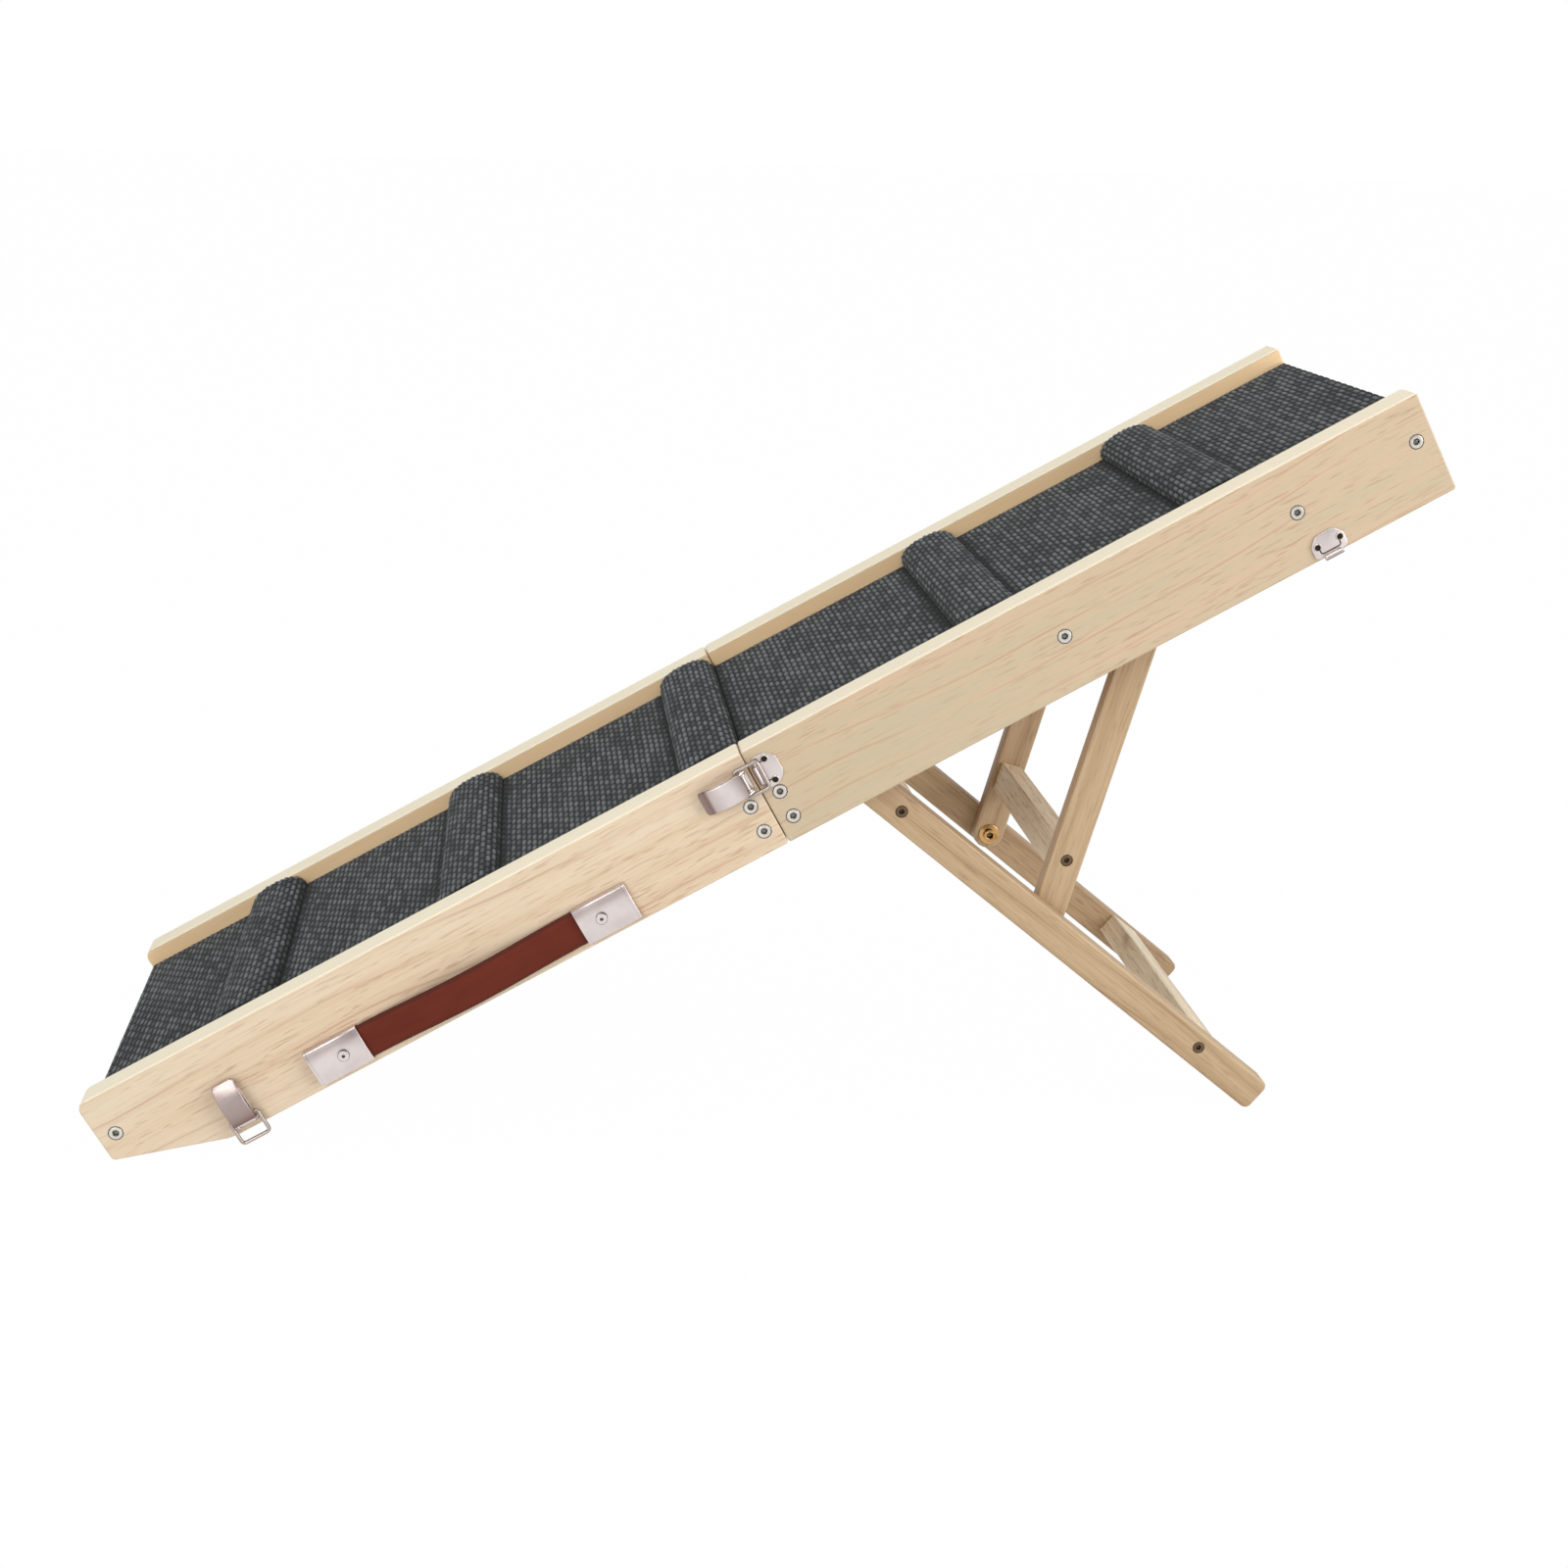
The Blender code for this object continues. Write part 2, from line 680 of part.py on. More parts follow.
def add_bars(ramp):
    end_foot = BAR_TOP - END_BAR_HEIGHT
    add_bar(ramp, "lower_end_bar", "lower_section", END_BAR_CENTRE, BAR_WIDTH, end_foot)
    add_bar(ramp, "upper_end_bar", "upper_section", RAMP_LENGTH - END_BAR_CENTRE, BAR_WIDTH, end_foot)
    for section, sign in (("lower", -1), ("upper", 1)):
        centre = SECTION_LENGTH + sign * JOINT_BAR_CENTRE
        body = f"{section}_section"
        add_bar(ramp, f"{section}_joint_bar", body, centre, JOINT_BAR_WIDTH, JOINT_BAR_FOOT)
    for number, centre in enumerate(MID_BARS, start=1):
        name = f"mid_cross_bar_{number}"
        add_bar(ramp, name, "upper_section", centre, BAR_WIDTH, BAR_TOP - MID_BAR_HEIGHT)


def add_board_screws(ramp, section, screws_of_bar):
    """Socket screws through the side boards into the ends of each bar."""
    screw, hole = through_screw(BOARD_SCREW_HEAD_RADIUS, BOARD_SCREW_HEAD_DEPTH, BOARD_SCREW_SHANK_RADIUS,
                                BOARD_THICKNESS, BOARD_SOCKET)
    boards = [f"{section}_side_board_near", f"{section}_side_board_far"]
    for bar, (centre, heights) in screws_of_bar.items():
        spots = [spot for height in heights
                 for spot in outward_spots(centre, height, BOARD_FACE - SCREW_RECESS)]
        bite(ramp, bar, f"{section}_section", spots, screw, hole, boards)


def add_all_board_screws(ramp):
    joint_below, joint_above = SECTION_LENGTH - JOINT_BAR_CENTRE, SECTION_LENGTH + JOINT_BAR_CENTRE
    add_board_screws(ramp, "lower", {
        "lower_end_bar": (END_BAR_CENTRE, [END_SCREW_HEIGHT]),
        "lower_joint_bar": (joint_below, JOINT_SCREW_HEIGHTS),
    })
    add_board_screws(ramp, "upper", {
        "upper_joint_bar": (joint_above, JOINT_SCREW_HEIGHTS),
        "mid_cross_bar_1": (MID_BARS[0], [MID_SCREW_HEIGHT]),
        "mid_cross_bar_2": (MID_BARS[1], [MID_SCREW_HEIGHT]),
        "upper_end_bar": (RAMP_LENGTH - END_BAR_CENTRE, [END_SCREW_HEIGHT]),
    })


# Hinges

def knuckles(centre):
    """The three knuckles of one hinge as spans across the ramp, with a gap between them."""
    length = (HINGE_LENGTH - 2 * SEAT_GAP) / 3
    starts = [centre - HINGE_LENGTH / 2 + k * (length + SEAT_GAP) for k in range(3)]
    return [(start, start + length) for start in starts]


def leaf_outline(centre, spans):
    """A leaf seen along the ramp, with a tongue down to the hinge axis at each of its knuckles."""
    low, high = centre - HINGE_LENGTH / 2, centre + HINGE_LENGTH / 2
    axis = -HINGE_AXIS_DROP
    outline = [(low, LEAF_FOOT)]
    for start, end in spans:
        first, last = start + TONGUE_INSET, end - TONGUE_INSET
        outline += [(first, LEAF_FOOT), (first, axis), (last, axis), (last, LEAF_FOOT)]
    outline += [(high, LEAF_FOOT), (high, LEAF_FOOT + LEAF_HEIGHT), (low, LEAF_FOOT + LEAF_HEIGHT)]
    return outline


def barrel_rod(span, radius):
    start, end = span
    axis = FOLD_AXIS
    return rod_mesh((axis.x, start, axis.z), (axis.x, end, axis.z), radius, BARREL_SIDES)


def add_hinge_leaf(ramp, section, sign, side, centre, own):
    """One section's leaf of one hinge; own picks which of the three knuckles it carries."""
    name, body = f"hinge_leaf_{section}_{side}", f"{section}_section"
    low, high = sorted((sign * SEAT_GAP, sign * (SEAT_GAP + LEAF_THICKNESS)))
    spans = [span for k, span in enumerate(knuckles(centre)) if k in own]
    across = frame_matrix((0, 1, 0), (0, 0, 1), (SECTION_LENGTH, 0, 0))
    ramp.piece(name, plate_mesh(leaf_outline(centre, spans), low, high, across), body, nickel)
    ramp.join(name, joined_mesh([barrel_rod(span, BARREL_RADIUS) for span in spans]), body)
    bore = barrel_rod((centre - HINGE_LENGTH, centre + HINGE_LENGTH), PIN_RADIUS + SEAT_GAP)
    ramp.cut([name], bore, body)
    heights = (LEAF_FOOT + HINGE_SCREW_SETBACK, LEAF_FOOT + LEAF_HEIGHT - HINGE_SCREW_SETBACK)
    holes = [rod_mesh((SECTION_LENGTH - BAR_WIDTH, centre + shift, height),
                      (SECTION_LENGTH + BAR_WIDTH, centre + shift, height), HINGE_HOLE_RADIUS, SHANK_SIDES)
             for shift, height in zip((-HINGE_SCREW_SPREAD, HINGE_SCREW_SPREAD), heights)]
    ramp.cut([name], joined_mesh(holes), body)


def add_hinge_pin(ramp, side, centre):
    """A headed pin through both leaves' knuckles."""
    half = HINGE_LENGTH / 2 + SEAT_GAP
    outer = half + PIN_HEAD_LENGTH
    profile = [(0, outer), (PIN_HEAD_RADIUS, outer), (PIN_HEAD_RADIUS, half), (PIN_RADIUS, half),
               (PIN_RADIUS, -half), (PIN_HEAD_RADIUS, -half), (PIN_HEAD_RADIUS, -outer), (0, -outer)]
    axis = (FOLD_AXIS.x, centre, FOLD_AXIS.z)
    pin = moved(turned_mesh(profile, SHANK_SIDES), aimed(axis, (0, 1, 0)))
    ramp.piece(f"hinge_pin_{side}", pin, "lower_section", nickel)


def add_hinges(ramp):
    for side, sign in SIDES.items():
        centre = sign * HINGE_CENTRE
        add_hinge_leaf(ramp, "upper", 1, side, centre, (0, 2))
        add_hinge_leaf(ramp, "lower", -1, side, centre, (1,))
        add_hinge_pin(ramp, side, centre)


# Leg and strut frames

def add_member(ramp, name, body, outline, radii, reach, view, steps=ARC_STEPS):
    """One leg or strut: a rounded outline between two distances from the ramp's middle, on each side."""
    shape = rounded(outline, radii, steps)
    for side, sign in SIDES.items():
        low, high = sorted((-sign * reach[0], -sign * reach[1]))
        obj = ramp.piece(f"{name}_{side}", plate_mesh(shape, low, high, view), body, pine_frame)
        add_bevel(obj, LEG_EASE)


def add_rung(ramp, name, body, view, low, high, reach):
    """A bar between two legs or struts, square to them."""
    mesh = plate_mesh(rectangle(low, high), -reach, reach, view)
    add_bevel(ramp.piece(name, mesh, body, pine_frame), BAR_EASE, 1)


def add_leg_frame(ramp):
    view = member_view(LEG_PIVOT, LEG_ANGLE)
    half = LEG_WIDTH / 2
    outline = rectangle((-half, -half), (LEG_LENGTH, half))
    radii = [half, FOOT_RADIUS, FOOT_RADIUS, half]
    add_member(ramp, "leg", "leg_frame", outline, radii, (LEG_INNER, LEG_OUTER), view)
    reach = LEG_INNER - SEAT_GAP
    along_half = LEG_BAR_ALONG / 2
    low = (LEG_UPPER_BAR_AT - along_half, -LEG_BAR_DEPTH / 2)
    high = (LEG_UPPER_BAR_AT + along_half, LEG_BAR_DEPTH / 2)
    add_rung(ramp, "leg_upper_cross_bar", "leg_frame", view, low, high, reach)
    low = (LEG_LOWER_BAR_AT - along_half, half - LEG_BAR_DEPTH)
    high = (LEG_LOWER_BAR_AT + along_half, half)
    add_rung(ramp, "leg_lower_cross_bar", "leg_frame", view, low, high, reach)


def add_strut_frame(ramp):
    view = member_view(STRUT_PIVOT, STRUT_ANGLE)
    half = STRUT_WIDTH / 2
    outline = rectangle((-half, -half), (STRUT_LENGTH + half, half))
    radii = [half] * 4
    add_member(ramp, "strut", "strut_frame", outline, radii, (STRUT_INNER, STRUT_OUTER), view)
    low = (STRUT_BAR_AT - STRUT_BAR_ALONG / 2, -STRUT_BAR_DEPTH / 2)
    high = (STRUT_BAR_AT + STRUT_BAR_ALONG / 2, STRUT_BAR_DEPTH / 2)
    add_rung(ramp, "strut_cross_bar", "strut_frame", view, low, high, STRUT_INNER - SEAT_GAP)
    reach = STRUT_OUTER - SEAT_GAP
    ends = [(PROP_SEAT.x, side * reach, PROP_SEAT.z) for side in (NEAR, FAR)]
    ramp.piece("prop_bar", rod_mesh(*ends, PROP_BAR_RADIUS, PROP_SIDES), "strut_frame", pine_frame)
    ends = [(PROP_SEAT.x, side * RAMP_WIDTH, PROP_SEAT.z) for side in (NEAR, FAR)]
    bore = rod_mesh(*ends, PROP_BAR_RADIUS + SEAT_GAP, PROP_SIDES)
    ramp.cut(["strut_near", "strut_far"], bore, "strut_frame")


def add_pivot_bolts(ramp, name, body, place, inner_face, bite_face, pieces):
    """Socket bolts whose heads lie inside, through one member and into the next."""
    head = (BOLT_HEAD_RADIUS, BOLT_HEAD_DEPTH)
    washer = (WASHER_RADIUS, WASHER_THICKNESS)
    top = inner_face - SEAT_GAP - WASHER_THICKNESS - BOLT_HEAD_DEPTH
    shank = (BOLT_RADIUS, bite_face + BOLT_BITE - top)
    bolt = socketed(fastener_mesh(head, shank, washer), BOLT_SOCKET, BOLT_HEAD_DEPTH * SOCKET_SHARE)
    hole = fastener_mesh(head, shank, washer, wider=SEAT_GAP, cover=HOLE_COVER)
    for side, sign in SIDES.items():
        spot = aimed((place.x, sign * top, place.z), (0, -sign, 0))
        sided = [f"{piece}_{side}" for piece in pieces]
        seat_fastener(ramp, f"{name}_{side}", body, spot, bolt, hole, sided, brass)


def add_frame_fasteners(ramp):
    """Recessed screws through the legs and struts into their cross-bars, and the pivot bolts.

    The lower bar stands back from the middle of the legs, and its screws lie halfway between the two.
    """
    sizes = (FRAME_SCREW_HEAD_RADIUS, FRAME_SCREW_HEAD_DEPTH, FRAME_SCREW_SHANK_RADIUS)
    lean = along(LEG_ANGLE + math.pi / 2)
    upper = LEG_PIVOT + LEG_UPPER_BAR_AT * along(LEG_ANGLE)
    halfway = (LEG_WIDTH - LEG_BAR_DEPTH) / 4
    lower = LEG_PIVOT + LEG_LOWER_BAR_AT * along(LEG_ANGLE) + halfway * lean
    screw, hole = through_screw(*sizes, LEG_THICKNESS, FRAME_SOCKET)
    for bar, at in (("leg_upper_cross_bar", upper), ("leg_lower_cross_bar", lower)):
        spots = outward_spots(at.x, at.z, LEG_OUTER - FRAME_SCREW_RECESS)
        bite(ramp, bar, "leg_frame", spots, screw, hole, ["leg_near", "leg_far"])
    at = STRUT_PIVOT + STRUT_BAR_AT * along(STRUT_ANGLE)
    screw, hole = through_screw(*sizes, STRUT_THICKNESS, FRAME_SOCKET)
    spots = outward_spots(at.x, at.z, STRUT_OUTER - FRAME_SCREW_RECESS)
    bite(ramp, "strut_cross_bar", "strut_frame", spots, screw, hole, ["strut_near", "strut_far"])
    add_pivot_bolts(ramp, "leg_pivot_bolt", "upper_section", LEG_PIVOT, LEG_INNER, INNER_FACE,
                    ["leg", "upper_side_board"])
    add_pivot_bolts(ramp, "strut_pivot_bolt", "leg_frame", STRUT_PIVOT, STRUT_INNER, LEG_INNER,
                    ["strut", "leg"])


# Racks

def rack_outline():
    """A rack seen from the side: its lower edge has a rounded seat, then a long easy ramp, for each tooth."""
    land = PROP_SEAT.z + PROP_BAR_RADIUS + SEAT_GAP - RACK_TOOTH_DEPTH
    top = BAR_TOP - MID_BAR_HEIGHT - SEAT_GAP
    start, end = MID_BARS[0] - RACK_OVERHANG, MID_BARS[1] + RACK_OVERHANG
    radius = PROP_BAR_RADIUS + SEAT_GAP
    rise = math.asin((land - PROP_SEAT.z) / radius)
    lean = math.pi / 2 - math.atan(RACK_RAMP_SLOPE)
    outline = [(start, land)]
    for seat in range(-RACK_SEATS_BELOW, RACK_SEATS_ABOVE + 1):
        centre = (PROP_SEAT.x + seat * RACK_PITCH, PROP_SEAT.z)
        outline += arc(centre, radius, math.pi - rise, lean, RACK_ARC_STEPS)
        x, z = outline[-1]
        outline.append((x + (z - land) / RACK_RAMP_SLOPE, land))
    return outline + [(end, land), (end, top), (start, top)]


def add_racks(ramp):
    for side, sign in SIDES.items():
        low, high = sorted((-sign * RACK_OUTER, -sign * (RACK_OUTER - RACK_THICKNESS)))
        mesh = plate_mesh(rack_outline(), low, high, side_view())
        ramp.piece(f"notch_rack_{side}", mesh, "upper_section", pine)


# Draw latches

def latch_places():
    """Each latch on the lower section: its pivot's foot, the direction it pulls and the way out."""
    places = {}
    for side, sign in SIDES.items():
        face = sign * BOARD_FACE
        centre = (SECTION_LENGTH - LATCH_CENTRE_SETBACK, face, LATCH_CENTRE_HEIGHT)
        places[f"centre_latch_{side}"] = (centre, (1, 0, 0), (0, sign, 0))
        end = (LATCH_END_CENTRE, face, LATCH_END_HEIGHT)
        places[f"end_latch_{side}"] = (end, (0, 0, -1), (0, sign, 0))
    return places


def catch_places():
    """Each catch on the upper section, from where its latch's pivot lies when the latch is closed."""
    places = {}
    for side, sign in SIDES.items():
        face = sign * BOARD_FACE
        centre = (SECTION_LENGTH - LATCH_CENTRE_SETBACK, face, LATCH_CENTRE_HEIGHT)
        places[f"centre_catch_{side}"] = (centre, (1, 0, 0), (0, sign, 0))
        folded = -2 * HINGE_AXIS_DROP - LATCH_END_HEIGHT
        end = (RAMP_LENGTH - LATCH_END_CENTRE, face, folded)
        places[f"end_catch_{side}"] = (end, (0, 0, 1), (0, sign, 0))
    return places


def latch_matrix(place, pull, out):
    """Maps (along the pull, across, out) to the ramp frame."""
    return frame_matrix(pull, Vector(out).cross(Vector(pull)), place)


def latch_side_view(matrix):
    """For outlines drawn along the pull and out from the board, with their thickness across it."""
    return matrix @ frame_matrix((1, 0, 0), (0, 0, 1))


def flange_spans(half):
    """The two folded sides of a sheet this far from its middle, just inside its edges."""
    outer = half - FOLD_INSET
    return [(-outer, PLATE_THICKNESS - outer), (outer - PLATE_THICKNESS, outer)]


def ear_outline():
    """An ear that tapers up from the base plate to a round top at the pivot."""
    foot = SEAT_GAP + PLATE_THICKNESS / 2
    top = arc((0, LATCH_PIVOT_HEIGHT), LATCH_EAR_RADIUS, 0, math.pi, 2 * LATCH_ARC_STEPS)
    return [(-LATCH_EAR_FOOT, foot), (LATCH_EAR_FOOT, foot)] + top


def add_latch_base(ramp, name, matrix):
    """A base plate with two ears and the lever's pin through them."""
    half = LATCH_BASE_WIDTH / 2
    front = LATCH_EAR_FOOT + FOLD_INSET
    corners = rectangle((front - LATCH_BASE_LENGTH, -half), (front, half))
    tail, nose = LATCH_BASE_TAIL_RADIUS, LATCH_BASE_FRONT_RADIUS
    outline = rounded(corners, [tail, nose, nose, tail], LATCH_ARC_STEPS)
    plate = plate_mesh(outline, SEAT_GAP, SEAT_GAP + PLATE_THICKNESS, matrix)
    ramp.piece(f"{name}_base", plate, "lower_section", nickel)
    heads = small_heads([(-at, 0) for at in LATCH_BASE_SCREWS])
    ramp.join(f"{name}_base", moved(heads, matrix), "lower_section")
    view = latch_side_view(matrix)
    for low, high in flange_spans(half):
        ramp.join(f"{name}_base", plate_mesh(ear_outline(), low, high, view), "lower_section")
    reach = LEVER_WIDTH / 2 - FOLD_INSET
    ends = [(0, side * reach, LATCH_PIVOT_HEIGHT) for side in (-1, 1)]
    pin = rod_mesh(*ends, LATCH_PIVOT_RADIUS, SHANK_SIDES)
    ramp.join(f"{name}_base", moved(pin, matrix), "lower_section")


def lever_height(share):
    """The lever's outer face above the board, from its pivot end (0) to its free end (1)."""
    start, crown, tip = LEVER_NEAR_HEIGHT, LEVER_CROWN_HEIGHT, LEVER_TIP_HEIGHT
    peak = LEVER_CROWN_SHARE
    if share < peak:
        return crown - (crown - start) * (1 - share / peak) ** 2
    return crown - (crown - tip) * ((share - peak) / (1 - peak)) ** 2


def lever_web_outline():
    """The lever's arched sheet seen from the side."""
    shares = [k / LEVER_STEPS for k in range(LEVER_STEPS + 1)]
    span = LEVER_LENGTH - LEVER_FRONT
    outer = [(-LEVER_FRONT - span * share, lever_height(share)) for share in shares]
    inner = [(x, z - PLATE_THICKNESS) for x, z in outer]
    return inner[::-1] + outer


def flange_outline():
    """A lever flange round its pivot and the bail's hole, up to the web."""
    pivot, radius = LATCH_PIVOT_HEIGHT, LEVER_FLANGE_RADIUS
    top = LEVER_NEAR_HEIGHT - PLATE_THICKNESS / 2
    front = arc((0, pivot), radius, -math.pi / 2, 0, LATCH_ARC_STEPS)
    back = arc((-BAIL_THROW, pivot), radius, math.pi, 3 * math.pi / 2, LATCH_ARC_STEPS)
    return back + front + [(-LEVER_FRONT, top), (-LEVER_FLANGE_LENGTH, top)]


def add_lever(ramp, name, matrix):
    half = LEVER_WIDTH / 2
    view = latch_side_view(matrix)
    web = plate_mesh(lever_web_outline(), -half, half, view)
    ramp.piece(f"{name}_lever", web, f"{name}_lever_swing", nickel)
    for low, high in flange_spans(half):
        ramp.join(f"{name}_lever", plate_mesh(flange_outline(), low, high, view), f"{name}_lever_swing")
    holes = []
    for x, radius in ((0, LATCH_PIVOT_RADIUS), (-BAIL_THROW, BAIL_WIRE_RADIUS)):
        ends = [(x, side * LEVER_WIDTH, LATCH_PIVOT_HEIGHT) for side in (-1, 1)]
        holes.append(rod_mesh(*ends, radius + SEAT_GAP, SHANK_SIDES))
    ramp.cut([f"{name}_lever"], moved(joined_mesh(holes), matrix), f"{name}_lever_swing")


def bail_path():
    """The bail's wire: in from one flange hole, round the end and back to the other hole."""
    span, reach, corner = LATCH_WIRE_SPAN, BAIL_REACH, BAIL_CORNER_RADIUS
    inward = LEVER_WIDTH / 2 - PLATE_THICKNESS
    bend = BAIL_BEND_RADIUS
    half = [(-BAIL_THROW, inward)]
    half += arc((-BAIL_THROW + bend, span - bend), bend, math.pi, math.pi / 2, BAIL_BEND_STEPS)
    half += arc((reach - corner, span - corner), corner, math.pi / 2, 0, LATCH_ARC_STEPS)
    return half + [(x, -y) for x, y in reversed(half)]


def add_bail(ramp, name, matrix):
    curve = bpy.data.curves.new("bail", "CURVE")
    curve.dimensions = "3D"
    curve.bevel_depth = BAIL_WIRE_RADIUS
    curve.bevel_resolution = BAIL_WIRE_FINENESS
    curve.use_fill_caps = True
    spline = curve.splines.new("POLY")
    path = bail_path()
    spline.points.add(len(path) - 1)
    for point, (x, y) in zip(spline.points, path):
        point.co = (x, y, LATCH_PIVOT_HEIGHT, 1)
    mesh = tidied(evaluated_mesh(object_of("bail", curve, bpy.context.scene.collection)))
    mesh.transform(matrix)
    ramp.piece(f"{name}_bail", mesh, f"{name}_bail_swing", nickel)


def catch_outline():
    """A D-shaped plate, straight beside the lip and bowed on its far side."""
    half, corner, bow = CATCH_WIDTH / 2, CATCH_CORNER_RADIUS, CATCH_BOW_RADIUS
    start, end = CATCH_START, CATCH_START + CATCH_LENGTH
    waist = start + CATCH_LENGTH * CATCH_WAIST_SHARE
    narrow = half * CATCH_BOW_SHARE
    corners = [(start, -half), (waist, -half), (end, -narrow), (end, narrow), (waist, half), (start, half)]
    return rounded(corners, [corner, bow, bow, bow, bow, corner], LATCH_ARC_STEPS)


def add_catch(ramp, name, matrix):
    plate = plate_mesh(catch_outline(), SEAT_GAP, SEAT_GAP + PLATE_THICKNESS, matrix)
    ramp.piece(name, plate, "upper_section", nickel)
    heads = small_heads([(CATCH_SCREW_AT, side * CATCH_SCREW_SPREAD) for side in (-1, 1)])
    ramp.join(name, moved(heads, matrix), "upper_section")
    foot = SEAT_GAP + PLATE_THICKNESS / 2
    start = CATCH_START + FOLD_INSET
    corners = rectangle((start, foot), (start + PLATE_THICKNESS, CATCH_LIP_HEIGHT))
    sharp, round_tip = CATCH_LIP_FOOT_RADIUS, CATCH_LIP_TIP_RADIUS
    lip = rounded(corners, [sharp, sharp, round_tip, round_tip], LATCH_ARC_STEPS)
    half = CATCH_LIP_WIDTH / 2
    ramp.join(name, plate_mesh(lip, -half, half, latch_side_view(matrix)), "upper_section")


def add_latches(ramp):
    for name, (place, pull, out) in latch_places().items():
        matrix = latch_matrix(place, pull, out)
        pivot = matrix @ Vector((0, 0, LATCH_PIVOT_HEIGHT))
        hook = matrix @ Vector((-BAIL_THROW, 0, LATCH_PIVOT_HEIGHT))
        ramp.body(f"{name}_lever_swing", pivot, "lower_section")
        ramp.body(f"{name}_bail_swing", hook, f"{name}_lever_swing")
        add_latch_base(ramp, name, matrix)
        add_lever(ramp, name, matrix)
        add_bail(ramp, name, matrix)
    for name, (place, pull, out) in catch_places().items():
        add_catch(ramp, name, latch_matrix(place, pull, out))


def small_heads(spots):
    """The round heads of the small screws that hold a latch plate down."""
    foot = SEAT_GAP + PLATE_THICKNESS / 2
    top = SEAT_GAP + PLATE_THICKNESS + SMALL_HEAD_DEPTH
    heads = [rod_mesh((x, y, foot), (x, y, top), SMALL_HEAD_RADIUS, SHANK_SIDES) for x, y in spots]
    return joined_mesh(heads)


# Handle

def handle_view():
    """For outlines drawn along the ramp and out from the near board."""
    return frame_matrix((1, 0, 0), (0, -1, 0), (0, -BOARD_FACE, HANDLE_HEIGHT))


def strap_lift(x):
    """How far the strap stands off between the caps, as one smooth swell."""
    start, end = HANDLE_START + CAP_LENGTH, HANDLE_START + HANDLE_LENGTH - CAP_LENGTH
    if not start < x < end:
        return SEAT_GAP
    return SEAT_GAP + STRAP_BOW * math.sin(math.pi * (x - start) / (end - start)) ** 2


def add_strap(ramp):
    """A leather band that lies flat under the caps and bows out between them."""
    start = HANDLE_START + CAP_WALL + SEAT_GAP
    end = HANDLE_START + HANDLE_LENGTH - CAP_WALL - SEAT_GAP
    first, last = HANDLE_START + CAP_LENGTH, HANDLE_START + HANDLE_LENGTH - CAP_LENGTH
    shares = [k / STRAP_STEPS for k in range(STRAP_STEPS + 1)]
    stations = [start] + [first + (last - first) * share for share in shares] + [end]
    inner = [(x, strap_lift(x)) for x in stations]
    outer = [(x, strap_lift(x) + STRAP_THICKNESS) for x in stations]
    half = STRAP_WIDTH / 2
    mesh = plate_mesh(inner + outer[::-1], -half, half, handle_view())
    add_bevel(ramp.piece("handle_strap", mesh, "lower_section", leather), STRAP_EASE, 1)


def cap_outline(half, shoulder, foot):
    """The arched end view of a cap, or of the room inside it, out from the board."""
    crown = shoulder + CAP_CROWN
    arch = []
    for step in range(CAP_STEPS + 1):
        share = 1 - 2 * step / CAP_STEPS
        arch.append((half * share, shoulder + (crown - shoulder) * (1 - share * share)))
    return [(-half, foot), (half, foot)] + arch


def add_caps(ramp):
    """Two arched metal caps, closed at their outer ends, over the ends of the strap."""
    room = SEAT_GAP + STRAP_THICKNESS + SEAT_GAP
    half = CAP_WIDTH / 2
    for name, outer_end, inward in (("lower", HANDLE_START, 1), ("upper", HANDLE_START + HANDLE_LENGTH, -1)):
        across = frame_matrix((0, 0, -inward), (0, -1, 0), (outer_end, -BOARD_FACE, HANDLE_HEIGHT))
        shell = cap_outline(half, room + CAP_WALL, SEAT_GAP)
        sign = 1 if (across @ Vector((0, 0, 1)) - across.translation).x * inward > 0 else -1
        low, high = sorted((0, sign * CAP_LENGTH))
        piece = ramp.piece(f"handle_cap_{name}", plate_mesh(shell, low, high, across), "lower_section", nickel)
        add_bevel(piece, CAP_EASE, 1)
        hollow = cap_outline(half - CAP_WALL, room, -CAP_WALL)
        low, high = sorted((sign * CAP_WALL, sign * (CAP_LENGTH + CAP_WALL)))
        ramp.cut([f"handle_cap_{name}"], plate_mesh(hollow, low, high, across), "lower_section")


def add_handle_screws(ramp):
    """A socket screw through each cap and the strap's end into the board."""
    top = 2 * SEAT_GAP + STRAP_THICKNESS + CAP_WALL + CAP_CROWN + HANDLE_HEAD_DEPTH
    head = (HANDLE_HEAD_RADIUS, HANDLE_HEAD_DEPTH)
    shank = (HANDLE_SHANK_RADIUS, HANDLE_SCREW_LENGTH)
    screw = socketed(fastener_mesh(head, shank), HANDLE_SOCKET, HANDLE_HEAD_DEPTH * SOCKET_SHARE)
    hole = fastener_mesh(head, shank, wider=SEAT_GAP, deeper=SEAT_GAP, cover=HOLE_COVER)
    ends = {"lower": HANDLE_START + HANDLE_SCREW_AT, "upper": HANDLE_START + HANDLE_LENGTH - HANDLE_SCREW_AT}
    for name, x in ends.items():
        spot = aimed((x, -BOARD_FACE - top, HANDLE_HEIGHT), (0, -1, 0))
        pieces = [f"handle_cap_{name}", "handle_strap", "lower_side_board_near"]
        seat_fastener(ramp, f"handle_screw_{name}", "lower_section", spot, screw, hole, pieces, nickel)


# Standing on the floor

